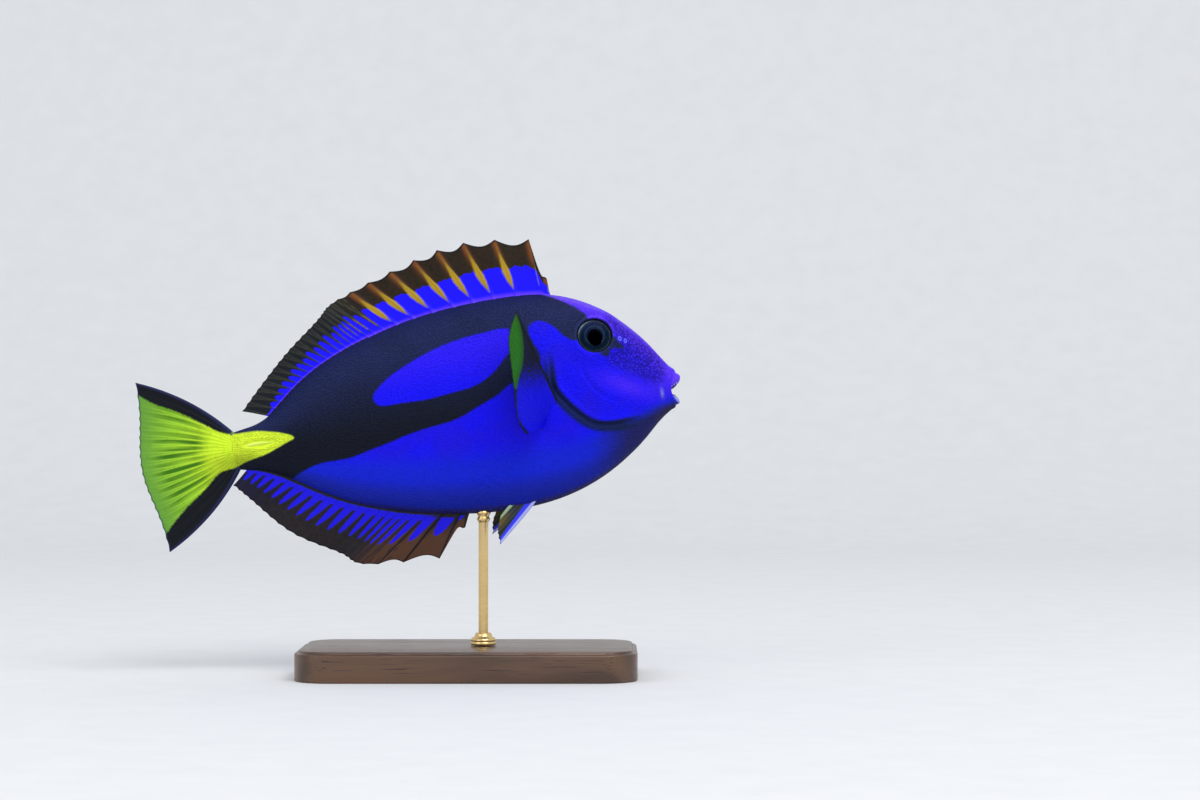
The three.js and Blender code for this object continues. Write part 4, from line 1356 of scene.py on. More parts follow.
@dataclass
class ScaleCoat:
    """The minute scales: low solid shields that overlap towards the tail and carry the skin's pattern."""

    skin: Skin
    row_step: float = 0.6
    column_step: float = 0.62
    height: float = 0.04
    overlap: float = 1.45
    patch: float = 0.0015
    last_station: float = 15.1
    lid_gap: float = 7.0
    nostril_gap: float = 0.8
    blade_gap: tuple[float, float] = (5.4, 1.3)
    jitter: float = 0.22
    # A shield's points: rearward and sideways shares of its size, and shares of its height
    shield: tuple[tuple[float, float, float], ...] = (
        (-0.42, 0.0, -0.5), (-0.05, 0.46, -0.15), (0.32, 0.32, 0.7), (0.5, 0.0, 0.8),
        (0.32, -0.32, 0.7), (-0.05, -0.46, -0.15), (0.08, 0.0, 1.15), (0.08, 0.0, -1.2),
    )
    # Pieces by the slice where each ends
    pieces: tuple[tuple[str, float], ...] = (
        ("scales_tail", 5.2), ("scales_flank", 7.6), ("scales_shoulder", 10.0), ("scales_head", 15.1),
    )

    def seats(self) -> tuple[Array, ...]:
        """Spreads the scales evenly over the body.

        Returns:
            Each scale's slice number, its angle, the gap in slices to the next row, and in angle to
            its neighbour.
        """
        form = self.skin.form
        rows = form.slice_numbers(self.row_step, 0.12, self.last_station)
        dense = np.linspace(0, math.tau, 361)
        stations, angles, gaps, angle_gaps = [], [], [], []
        for number, (row, following) in enumerate(zip(rows[:-1], rows[1:])):
            ring = form.points(np.full(dense.shape, row), dense)
            travelled = np.concatenate([[0], np.cumsum(np.linalg.norm(np.diff(ring, axis=0), axis=1))])
            count = max(8, round(travelled[-1] / self.column_step))
            at = (np.arange(count) + 0.5 * (number % 2)) / count * travelled[-1]
            angles.append(np.interp(at, travelled, dense))
            angle_gaps.append(np.interp(at + self.column_step, travelled, dense) - angles[-1])
            stations.append(np.full(count, row))
            gaps.append(np.full(count, following - row))
        return tuple(np.concatenate(rows) for rows in (stations, angles, gaps, angle_gaps))

    def build(self, material: Material) -> list[Piece]:
        """Builds the coat's pieces.

        Args:
            material: The skin's finish.

        Returns:
            The pieces, from the tail to the head.
        """
        marks, depth = self.skin.markings, self.skin.depth
        station, angle, gap, angle_gap = self.seats()
        random = np.random.default_rng(SEED)
        station = station + gap * random.uniform(-self.jitter, self.jitter, gap.size)
        angle = angle + angle_gap * random.uniform(-self.jitter, self.jitter, gap.size)
        middle = marks.surface(station, angle, depth)
        blade = marks.hollow_depth(middle[:, 0], middle[:, 2], *self.blade_gap)
        kept = (marks.eye_gap(middle) > self.lid_gap) & (blade > 1)
        for x, z in Nostrils.PLACES:
            kept &= np.hypot(middle[:, 0] - x, middle[:, 2] - z) > self.nostril_gap
        station, angle, gap, angle_gap, middle = (
            values[kept] for values in (station, angle, gap, angle_gap, middle)
        )
        half, turn = gap / 2, 0.01
        ahead = marks.surface(station + half, angle, depth) - marks.surface(station - half, angle, depth)
        around = marks.surface(station, angle + turn, depth) - marks.surface(station, angle - turn, depth)
        length = np.linalg.norm(ahead, axis=1, keepdims=True)
        rear = -ahead / length
        out = np.cross(ahead, around)
        out /= np.linalg.norm(out, axis=1, keepdims=True)
        across = np.cross(out, rear)
        shares = np.array(self.shield)
        snout = self.skin.read_pattern(station, angle)["snout"]
        high = self.height * (1 + 0.9 * snout) * random.uniform(0.8, 1.2, gap.size)
        points = (
            middle[:, None]
            + rear[:, None] * shares[:, 0, None] * (length * self.overlap)[:, None]
            + across[:, None] * shares[:, 1, None] * self.column_step
            + out[:, None] * shares[:, 2, None] * high[:, None, None]
        )
        corner_station = station[:, None] - shares[:, 0] * self.overlap * gap[:, None]
        corner_angle = angle[:, None] - shares[:, 1] * angle_gap[:, None]
        chart = self.skin.chart(station, angle)[:, None] + shares[:, :2] * self.patch * 2
        corners = {
            "tone": np.repeat(random.uniform(0, 1, gap.size)[:, None], len(shares), axis=1),
            **self.skin.read_pattern(corner_station, corner_angle),
        }
        first = 0.0
        made = []
        for name, last in self.pieces:
            part = (station >= first) & (station < last)
            fields = {key: values[part].ravel() for key, values in corners.items()}
            made.append(self.piece(name, points[part], fields, chart[part], material))
            first = last
        return made

    def piece(
        self, name: str, points: Array, fields: Fields, chart: Array, material: Material
    ) -> Piece:
        """Joins scales into one mesh.

        Args:
            name: The piece's name.
            points: Each scale's points, scales by points by 3.
            fields: The pattern's fields, one value for each point.
            chart: Each point's place on the map, scales by points by 2.
            material: The skin's finish.

        Returns:
            The piece.
        """
        count, corners = points.shape[:2]
        top, foot, rim = corners - 2, corners - 1, corners - 2
        upper = [(i, (i + 1) % rim, top) for i in range(rim)]
        lower = [((i + 1) % rim, i, foot) for i in range(rim)]
        faces = (np.array(upper + lower)[None] + (np.arange(count) * corners)[:, None, None]).reshape(-1, 3)
        mesh = bpy.data.meshes.new(name)
        mesh.vertices.add(count * corners)
        mesh.vertices.foreach_set("co", FISH.place(points).astype(np.float32).ravel())
        mesh.loops.add(faces.size)
        mesh.loops.foreach_set("vertex_index", faces.astype(np.int32).ravel())
        mesh.polygons.add(len(faces))
        mesh.polygons.foreach_set("loop_start", np.arange(0, faces.size, 3, dtype=np.int32))
        mesh.update(calc_edges=True)
        piece = add_object(name, mesh)
        store(piece, {"fish": points.reshape(-1, 3), **fields})
        layer = mesh.uv_layers.new(name="OFBake")
        layer.data.foreach_set("uv", chart.reshape(-1, 2)[faces.ravel()].astype(np.float32).ravel())
        mesh.shade_smooth()
        slot = Slot.SKIN_BLACK if name == "scales_tail" else Slot.SKIN_BLUE
        return dress(piece, material, slot)


@dataclass
class Nostrils:
    """Two small rimmed nostrils on each side of the snout."""

    skin: Piece
    PLACES = ((131.1, 19.2), (132.8, 18.2))
    profile: Outline = (
        (0.95, -0.12), (0.8, 0.02), (0.62, 0.2), (0.48, 0.24), (0.36, 0.16), (0.3, -0.05), (0.26, -0.4),
        (0.05, -0.45),
    )

    def build(self, material: Material) -> list[Piece]:
        """Builds the four nostrils as one piece on each side.

        Args:
            material: The skin's finish.

        Returns:
            The left and the right piece.
        """
        made = []
        for side in Side:
            rings = []
            for number, (x, z) in enumerate(self.PLACES):
                ring = turned(f"nostril_{side.word}_{number}", self.profile, 20)
                radius = np.array([math.hypot(vert.co.x, vert.co.y) for vert in ring.data.vertices])
                outside = {name: np.full(radius.shape, -9.0) for name in ("oval", "wedge")}
                store(ring, {
                    # Painted shade: the inside of each nostril is painted black through the band's field
                    "band": np.where(radius < 0.32, 3.0, -9.0),
                    "lower_lip": 0.5 * ease(radius, 0.9, 0.5),
                    "fish": np.full((radius.size, 3), (x, 0, z), float),
                    **outside,
                })
                settle(ring, seat_on(self.skin, x, z, side) @ Matrix.Diagonal((0.85, 1.15, 1, 1)))
                rings.append(ring)
            made.append(dress(join(rings, f"nostrils_{side.word}"), material, Slot.SKIN_BLUE))
        return made


def seat_on(skin: Piece, x: float, z: float, side: Side) -> Matrix:
    """Finds a seat on the skin, with z outwards and x forwards.

    Args:
        skin: The skin.
        x: The seat's x in side view.
        z: The seat's z in side view.
        side: The fish's side.

    Returns:
        The seat's frame in row metres, scaled so that its own units are millimetres.
    """
    to_row = FISH.matrix()
    start = to_row @ Vector((x, side.value * 40, z))
    way = (to_row.to_3x3() @ Vector((0, -side.value, 0))).normalized()
    hit, normal = skin.ray_cast(start, way)[1:3]
    ahead = (to_row.to_3x3() @ Vector((1, 0, 0))).normalized()
    across = normal.cross(ahead).normalized()
    turn = Matrix((across.cross(normal), across, normal)).transposed().to_4x4()
    return Matrix.Translation(hit) @ turn @ Matrix.Scale(MM, 4)


@dataclass
class Eye:
    """An eye: its ball with iris and pupil, under a clear dome."""

    form: BodyForm
    seat: EyeSeat
    ball: Outline = (
        (0.2, 2.62), (0.9, 2.58), (1.6, 2.46), (2.1, 2.32), (2.5, 2.16), (2.7, 2.02), (2.9, 1.99),
        (3.3, 1.93), (3.7, 1.83), (4.1, 1.7), (4.5, 1.54), (4.9, 1.34), (5.3, 1.08), (5.6, 0.84),
        (5.85, 0.5), (5.95, 0.0), (5.7, -1.2), (4.6, -2.6), (2.6, -3.2), (0.3, -3.35),
    )
    dome_height: float = 3.4
    dome_radius: float = 6.3
    wall: float = 0.22
    pupil_drop: float = 0.8
    segments: int = 72

    def dome(self) -> Outline:
        """Gives the clear dome's profile: out over its top, round its edge and back under it."""
        turns = [math.radians(2 + 8 * i) for i in range(9)] + [math.radians(70)]
        outer = [(self.dome_radius * math.sin(a), self.dome_height * math.cos(a)) for a in turns]
        inner = [(radius * 0.985, height - self.wall) for radius, height in reversed(outer)]
        return (*outer, *inner)

    def build(self, finish: EyeFinish) -> list[Piece]:
        """Builds the eye.

        Args:
            finish: The eye's finishes.

        Returns:
            The ball and the dome.
        """
        name = f"eye_{self.seat.side.word}"
        ball = turned(f"{name}_ball", self.ball, self.segments)
        x, y, z = np.array([vert.co for vert in ball.data.vertices]).T
        up = -self.seat.side.value * y
        radius = np.hypot(x, y)
        half_wide, half_tall = finish.pupil_half
        pupil = 1 - np.hypot(x / half_wide, (up + self.pupil_drop) / half_tall)
        outer = ease(radius, 4.85, 5.1) * ease(radius, 5.6, 5.4)
        turn = np.arctan2(up, x) - math.radians(134)
        safe = np.maximum(radius, 0.1)
        spoke = np.column_stack([x / safe * 4, y / safe * 4, radius * 0.15])
        store(ball, {
            "radius": radius,
            "upper": ease(up, -0.5, 4.5),
            "pupil": pupil * half_wide,
            "gleam": outer * (0.12 + 0.75 * hump(turn, 0, 0.5)),
            "spoke": spoke,
        })
        cornea = turned(f"{name}_cornea", self.dome(), self.segments)
        for piece in (ball, cornea):
            settle(piece, FISH.matrix() @ self.seat.matrix(self.form))
        dress(ball, finish.ball(), Slot.EYE, name)
        return [ball, dress(cornea, finish.cornea(), Slot.EYE, name)]


@dataclass
class TailBlade:
    """The folded blade in its hollow on the side of the tail base, its point forward."""

    skin: Piece
    side: Side
    length: float = 9.8
    half_height: float = 0.62
    half_depth: float = 0.5
    lift: float = 0.12
    turn: float = math.radians(2.5)

    def build(self, material: Material) -> Piece:
        """Builds the blade.

        Args:
            material: Its finish.

        Returns:
            The blade.
        """
        share, angle = np.meshgrid(np.linspace(0, 1, 34), np.linspace(0, math.tau, 25), indexing="ij")
        height = self.half_height * np.sin(math.pi * share**0.62) ** 0.75
        height = np.where((share == 0) | (share == 1), 0, height)
        ridge = np.sign(np.sin(angle)) * np.abs(np.sin(angle)) ** 1.6
        x = (share - 0.5) * self.length
        y = height * np.cos(angle) + 0.25 * np.sin(math.pi * share)
        z = self.half_depth * height / self.half_height * ridge
        places = np.stack([x, y, z], axis=-1)
        blade = wrapped_grid(f"blade_{self.side.word}", places, {}, unit_chart(*share.shape))
        seat = seat_on(self.skin, *Markings.BLADE_HOLLOW, self.side)
        flip = Matrix.Diagonal((1, -self.side.value, 1, 1))
        flip = flip @ Matrix.Rotation(self.side.value * self.turn, 4, "Y")
        raise_it = Matrix.Translation((0, 0, self.lift))
        settle(blade, seat @ raise_it @ flip @ FISH.matrix().inverted())
        return dress(blade, material, Slot.BLADE, f"tail_blade_{self.side.word}")


@dataclass
class Teeth:
    """The small fixed teeth along the edges of both jaws."""

    markings: Markings
    depth: float
    upper: int = 9
    lower: int = 8
    station: float = 17.35
    spread: float = math.radians(60)
    size: tuple[float, float, float] = (0.36, 0.24, 0.6)

    def build(self, material: Material) -> Piece:
        """Builds one tooth, copies it along both jaws and joins the copies.

        Args:
            material: Their finish.

        Returns:
            The teeth.
        """
        select()
        bpy.ops.mesh.primitive_cube_add(size=1)
        tooth = take_new("teeth")
        in_edit_mode(tooth)
        bpy.ops.transform.resize(value=self.size)
        pick(tooth, "FACE", lambda face: face.normal.z > 0.9)
        bpy.ops.transform.resize(value=(0.7, 0.5, 1))
        bpy.ops.mesh.select_all(action="SELECT")
        bpy.ops.mesh.bevel(offset=0.07, segments=2)
        bpy.ops.object.mode_set(mode="OBJECT")
        bpy.ops.object.shade_smooth()
        model = tooth.data.copy()
        copies = []
        for count, middle in ((self.upper, 0.0), (self.lower, math.pi)):
            for turn in np.linspace(-self.spread, self.spread, count):
                copy = add_object("tooth", model.copy())
                settle(copy, FISH.matrix() @ self.seat(middle + turn))
                copies.append(copy)
        bpy.data.objects.remove(tooth)
        return dress(join(copies, "teeth"), material, Slot.BLADE)

    def seat(self, angle: float) -> Matrix:
        """Gives a tooth's place and turn in the fish's frame."""
        at = self.markings.surface(np.array(self.station), np.array(angle), self.depth)
        beside = self.markings.surface(np.array(self.station), np.array(angle + 0.05), self.depth)
        across = Vector(beside - at).normalized()
        heart = Vector((at[0] - 0.2, 0, -0.3))
        grow = heart - Vector(at)
        grow = (grow - across * grow.dot(across)).normalized()
        turn = Matrix((across, grow.cross(across), grow)).transposed().to_4x4()
        return Matrix.Translation(Vector(at)) @ turn


def pick(piece: Piece, kind: str, test: object) -> None:
    """Selects what passes a test, in edit mode.

    Args:
        piece: The piece, in edit mode.
        kind: EDGE or FACE.
        test: Takes an edge or a face and says whether to select it.
    """
    bpy.ops.mesh.select_mode(type=kind)
    bpy.ops.mesh.select_all(action="DESELECT")
    mesh = bmesh.from_edit_mesh(piece.data)
    for part in {"EDGE": mesh.edges, "FACE": mesh.faces}[kind]:
        if test(part):
            part.select_set(True)
    mesh.select_flush_mode()
    bmesh.update_edit_mesh(piece.data)


@dataclass
class Web:
    """A thin rayed fin: a closed sheet with rays that stand up on both faces."""

    name: str
    nodes: tuple[str, ...]
    slot: Slot
    form: BodyForm
    rows: int = 40
    rays: int = 0
    parts: int = 10
    pull: float = 0.3
    fork: float = 0.5
    ray_width: float = 0.2
    ray_taper: float = 0.0
    edge: float = 0.3
    rounding: tuple[float, ...] = (1.0, 0.92, 0.7, 0.35)

    def columns(self) -> Array:
        """Gives the ray numbers to draw the web at."""
        return np.concatenate([self.clustered(0, self.rays, self.parts, self.pull), [self.rays]])

    def middle(self, ray: Array, share: Array) -> Array:
        """Gives places on the web's middle, from the root at 0 to the margin at 1."""
        raise NotImplementedError

    def thickness(self, ray: Array, share: Array, gap: Array) -> Array:
        """Gives the web's thickness."""
        raise NotImplementedError

    def fields(self, ray: Array, share: Array, gap: Array) -> Fields:
        """Gives the pattern's fields."""
        raise NotImplementedError

    def side(self) -> Array:
        """Gives the direction that the thickness is laid on."""
        return np.array((0.0, 1.0, 0.0))

    @staticmethod
    def clustered(first: int, last: int, parts: int, pull: float) -> Array:
        """Gives places between whole ray numbers, closer together at the rays.

        Args:
            first: The first ray.
            last: The last ray.
            parts: Steps from ray to ray.
            pull: How much closer, 0 to 1.

        Returns:
            Rising ray numbers, without the last ray.
        """
        even = np.arange(parts) / parts
        steps = even - pull * np.sin(math.tau * even) / math.tau
        return (np.arange(first, last)[:, None] + steps).ravel()

    @staticmethod
    def branches(ray: Array, share: Array, fork: float) -> Array:
        """Gives the ray-number gap to the nearest branch of a soft ray.

        Args:
            ray: Ray numbers.
            share: Shares of the way out.
            fork: Where the rays fork.

        Returns:
            The gap.
        """
        spread = 0.2
        off = np.abs(ray - np.round(ray))
        first = spread * np.clip((share - fork) / (1 - fork), 0, 1) ** 0.8
        second = 0.45 * spread * np.clip((share - fork - 0.25) / (0.75 - fork), 0, 1)
        return np.abs(np.abs(off - first) - second)

    def near_ray(self, ray: Array, share: Array, gap: Array) -> Array:
        """Gives how near each place is to a ray, 0 to 1."""
        off = self.branches(ray, share, self.fork) * gap
        return np.exp(-((off / (self.ray_width + self.ray_taper * (1 - share))) ** 2))

    def build(self, material: Material, place: Matrix | None = None) -> Piece:
        """Builds the fin.

        Args:
            material: Its finish.
            place: A further placing in the fish's frame, for a mirrored fin.

        Returns:
            The fin.
        """
        numbers = self.columns()
        out = np.array(self.rounding)
        reach = np.concatenate([out, np.zeros(numbers.size - 2), out[::-1]])
        numbers = np.pad(numbers, out.size - 1, mode="edge")
        share = np.linspace(0, 1, self.rows) ** 0.94
        ray, share = np.meshgrid(numbers, share)
        base = self.middle(ray, share)
        beside = self.middle(ray + 0.01, share) - self.middle(ray - 0.01, share)
        along = self.middle(ray, share + 0.01) - self.middle(ray, share - 0.01)
        gap = np.linalg.norm(beside, axis=-1) / 0.02
        run = np.linalg.norm(along, axis=-1) / 0.02 * share
        beside /= np.maximum(np.linalg.norm(beside, axis=-1, keepdims=True), 1e-9)
        outward = np.where(np.arange(numbers.size) < numbers.size / 2, -1, 1)[:, None]
        thick = self.thickness(ray, share, gap)
        base = base + beside * outward * (thick / 2 * reach)[..., None]
        half = (thick / 2 * np.sqrt(1 - reach**2))[..., None] * self.side()
        places = np.concatenate([base + half, (base - half)[::-1], (base + half)[:1]])
        fields = {"height": share, "run": run, **self.fields(ray, share, gap)}
        fields = {name: np.concatenate([v, v[::-1], v[:1]]) for name, v in fields.items()}
        if place is not None:
            places = moved(places, np.array(place))
        fin = wrapped_grid(self.name, places, fields, unit_chart(*places.shape[:2]))
        return dress(fin, material, self.slot, *self.nodes)


@dataclass
class MedianFin(Web):
    """A fin along the back or the belly: spines in front, then soft rays."""

    spines: int = 9
    rays: int = 29
    first: tuple[float, ...] = ()
    keys: tuple[tuple[float, ...], ...] = ()
    inward: float = -1
    first_scallop: float = 5.6
    scallop: float = 2.1
    soft_scallop: float = 0.3
    root_depth: float = 2.6
    root_thickness: float = 1.5
    wave: float = 0.45

    def __post_init__(self) -> None:
        """Runs splines through the key rays."""
        numbers, *values = zip(*self.keys)
        self.tracks = [Spline(numbers, row) for row in values]

    def columns(self) -> Array:
        """Gives the ray numbers to draw the web at."""
        spiny = self.clustered(1, self.spines, 22, 0.72)
        soft = self.clustered(self.spines, self.rays, 10, 0.3)
        return np.concatenate([spiny, soft, [self.rays]])

    def ends(self, ray: Array) -> tuple[Array, Array]:
        """Gives each ray's root and tip in side view, the root inside the body.

        Args:
            ray: Ray numbers.

        Returns:
            The roots and the tips.
        """
        start = self.keys[0][0]
        share = np.clip(ray - self.first[0], 0, 1)
        tracks = [
            np.where(ray >= start, track(np.maximum(ray, start)), low * (1 - share) + high * share)
            for track, low, high in zip(self.tracks, self.first[1:], self.keys[0][1:])
        ]
        line = self.form.back_height if self.inward < 0 else self.form.belly_height
        root = np.stack([tracks[0], line(tracks[0]) + self.inward * self.root_depth], axis=-1)
        tip = np.stack(tracks[1:], axis=-1)
        across = ray % 1
        spiny = np.maximum(0, 1 - (np.floor(ray) - 2) / (self.spines - 1))
        notch = self.scallop * np.minimum(1, 1.4 * spiny) * np.sin(math.pi * across)
        notch = np.where(ray < 2, self.first_scallop * np.sin(math.pi * across**1.3), notch)
        notch = notch + np.where(ray > self.spines, self.soft_scallop * np.abs(np.sin(math.pi * across)), 0)
        back = root - tip
        return root, tip + back / np.linalg.norm(back, axis=-1, keepdims=True) * notch[..., None]

    def middle(self, ray: Array, share: Array) -> Array:
        """Gives places on the web's middle."""
        ray = np.clip(ray, 1, self.rays)
        root, tip = self.ends(ray)
        flat = root + (tip - root) * share[..., None]
        bow = np.where(ray < self.spines, 0.3 * np.sin(math.pi * (ray % 1)) * (-1) ** np.floor(ray), 0)
        sway = self.wave * np.sin(ray * 0.85) + bow
        y = self.form.swing(flat[..., 0]) + sway * np.clip(share, 0, 1) ** 1.6
        return np.stack([flat[..., 0], y, flat[..., 1]], axis=-1)

    def ridge(self, ray: Array, share: Array, gap: Array) -> tuple[Array, Array]:
        """Gives the rays' height over the web and how near each place is to a ray.

        Args:
            ray: Ray numbers.
            share: Shares of the way out.
            gap: Millimetres from ray to ray.

        Returns:
            The height of the ridges and the nearness, 0 to 1.
        """
        spiny = ray < self.spines + 0.5
        off = np.where(spiny, np.abs(ray - np.round(ray)), self.branches(ray, share, 0.42)) * gap
        reach = np.where(spiny, 0.16 + 0.5 * (1 - share) ** 0.8, 0.1 + 0.2 * (1 - share))
        near = np.exp(-((off / (reach * 1.1)) ** 2))
        return reach * 1.5 * near, near

    def thickness(self, ray: Array, share: Array, gap: Array) -> Array:
        """Gives the web's thickness."""
        web = self.edge + (self.root_thickness - self.edge) * (1 - share) ** 2.2
        return web + self.ridge(ray, share, gap)[0]

    def bare(self, ray: Array, share: Array) -> tuple[Array, Array]:
        """Gives the share of the way out and the length, both counted from the skin.

        Args:
            ray: Ray numbers.
            share: Shares of the way out from the buried root.

        Returns:
            The share and the length in millimetres.
        """
        root, tip = self.ends(ray)
        length = np.linalg.norm(tip - root, axis=-1)
        shown = np.maximum(length - self.root_depth, 0.5)
        return np.clip((share * length - self.root_depth) / shown, -0.2, 1), shown


@dataclass
class DorsalFin(MedianFin):
    """The fin along the back: nine spines with yellow flames, then soft rays with blue ones."""

    def fields(self, ray: Array, share: Array, gap: Array) -> Fields:
        """Gives the pattern's fields."""
        high, shown = self.bare(ray, share)
        near = self.ridge(ray, share, gap)[1]
        across = ray % 1
        off = (ray - np.round(ray)) * gap
        spiny = ray < self.spines + 0.35
        jags = 0.5 * np.sin(ray * 19.7) + 0.35 * np.sin(ray * 43.1 + 1) + 0.25 * np.sin(ray * 71.3 + 2)
        lobe_top = np.interp(ray, (2, 5, 9), (0.58, 0.54, 0.58)) + 0.025 * jags
        lobe_top -= 0.17 * np.abs(2 * across - 1) ** 3
        lobe = (lobe_top - high) * shown
        soft_top = np.interp(ray, (9, 11, 16, 22, 26, 29), (0.58, 0.62, 0.6, 0.52, 0.38, 0.1))
        soft_top = soft_top + 0.05 * np.sin(np.floor(ray) * 2.4)
        wide = 0.45 * np.clip(1 - high / soft_top, 0, 1) ** 0.32
        flames = np.maximum((wide - np.abs(across - 0.5)) * gap, (0.12 - high) * shown)
        flames = np.where(high > soft_top, np.minimum(flames, (soft_top - high) * shown), flames)
        heights, widths = (0.06, 0.12, 0.3, 0.46, 0.62, 0.8, 1.0), (-0.4, 0.15, 1.1, 1.45, 0.9, 0.2, -0.1)
        width = np.interp(high, heights, widths)
        thin = 0.62 * ease(ray, 21, 9) * ease(high, 0.1, 0.2) * ease(high, 0.62, 0.45) - 0.4
        streak = np.where(spiny & (ray > 2.4), width - np.abs(off - 0.25), thin - np.abs(off))
        edge = (1 - share) * (shown + self.root_depth)
        return {
            "height": high,
            "lobe": np.where(spiny, lobe, flames),
            "streak": streak * 0.7,
            "tip": np.where(spiny, ease(high, 0.4, 0.78) * hump(off, 0.35, 1.0), 0),
            "margin": np.where(spiny, 0.7, 0.35) - edge,
            "rear": ease(ray, 7.5, 13),
            "seam": np.where(ray > 12, 0.28 - (high * shown), -1.0),
            "ray_line": near,
        }


@dataclass
class AnalFin(MedianFin):
    """The fin along the belly: three spines, then soft rays with slanting blue flames."""

    def fields(self, ray: Array, share: Array, gap: Array) -> Fields:
        """Gives the pattern's fields."""
        high, shown = self.bare(ray, share)
        near = self.ridge(ray, share, gap)[1]
        across = ray % 1
        off = (ray - np.round(ray)) * gap
        top = np.interp(ray, (1, 3, 6, 12, 18, 22), (0.3, 0.6, 0.66, 0.68, 0.66, 0.6))
        foot = np.interp(ray, (1, 4, 8), (0.1, 0.1, 0.05))
        wide = 0.4 * np.clip(1 - high / top, 0, 1) ** 0.45
        flames = (wide - np.abs(across - 0.5)) * gap
        flames = np.minimum(flames, (high - foot) * shown)
        flames = np.where(high > top, np.minimum(flames, (top - high) * shown), flames)
        band = np.minimum((0.17 - high) * shown, (high - 0.06) * shown)
        band = np.minimum(band, (ray - 3.5) * 0.6)
        edge = (1 - share) * (shown + self.root_depth)
        spine_line = 0.5 - np.abs(off) - 0.4 * (high < 0.3)
        return {
            "height": high,
            "lobe": np.maximum(flames, band),
            "streak": np.full(ray.shape, -1.0),
            "tip": ease(high, 0.1, 0.6) * ease(ray, 8, 4) * (1 - near),
            "margin": np.where(ray < 5, np.maximum(0.45 - edge, spine_line), 0.5 - edge),
            "rear": ease(ray, 15, 21),
            "seam": 0.75 - high * shown,
            "ray_line": near,
        }


@dataclass
class TailFin(Web):
    """The tail's fan about an apex inside the tail base."""

    yellow: Array = None
    apex: tuple[float, float] = (3.6, -0.1)
    droop: float = math.radians(3.5)
    half_spread: float = math.radians(42.3)
    ray_curve: float = math.radians(18)
    middle_reach: float = 34.8
    tip_reach: float = 42.0
    tip_sharpness: float = 3.6
    root_share: float = 0.12
    root_thickness: float = 4.0
    rays: int = 17
    parts: int = 16
    pull: float = 0.25
    fork: float = 0.4
    ray_width: float = 0.22
    ray_taper: float = 0.1
    serration: float = 0.3

    def spread_of(self, ray: Array) -> Array:
        """Turns ray numbers into -1 at the lower edge to 1 at the upper edge."""
        return 2 * np.clip(ray, 0, self.rays) / self.rays - 1

    def middle(self, ray: Array, share: Array) -> Array:
        """Gives places on the web's middle."""
        u = self.spread_of(ray)
        reach = self.middle_reach + (self.tip_reach - self.middle_reach) * np.abs(u) ** self.tip_sharpness
        reach = reach - self.serration * np.abs(np.sin(math.pi * ray)) * share**6
        out = self.root_share + (1 - self.root_share) * share
        angle = u * (self.half_spread + self.ray_curve * (1 - out)) - self.droop
        x = self.apex[0] - reach * out * np.cos(angle)
        z = self.apex[1] + reach * out * np.sin(angle)
        y = self.form.swing(x) + 0.35 * np.sin(u * 5) * np.clip(share, 0, 1) ** 2
        return np.stack([x, y, z], axis=-1)

    def thickness(self, ray: Array, share: Array, gap: Array) -> Array:
        """Gives the web's thickness."""
        u = self.spread_of(ray)
        taper = (self.root_thickness - self.edge) * (1 - share) ** 3.2 * np.sqrt(1 - 0.96 * u**2)
        rim = 0.6 * np.abs(u) ** 9 * (1 - share) + 0.25 * np.abs(u) ** 14
        return self.edge + taper + rim + 0.34 * (1 - 0.7 * share) * self.near_ray(ray, share, gap)

    def fields(self, ray: Array, share: Array, gap: Array) -> Fields:
        """Gives the pattern's fields."""
        u = self.spread_of(ray)
        edge = (1 - np.abs(u)) * gap * self.rays / 2
        side_view = self.middle(ray, share)
        black = np.minimum(-inside_distance(side_view[..., 0], side_view[..., 2], self.yellow), 9)
        rear = (1 - share) * self.middle_reach
        return {
            "black": black,
            "rim": np.minimum(rear, edge),
            "fan": np.stack([ray, share * 1.5, np.zeros(ray.shape)], axis=-1),
            # Painted shade under the tail's root
            "under": Markings.tail_shade(side_view[..., 0], side_view[..., 2]),
            "ray_line": self.near_ray(ray, share, gap),
        }


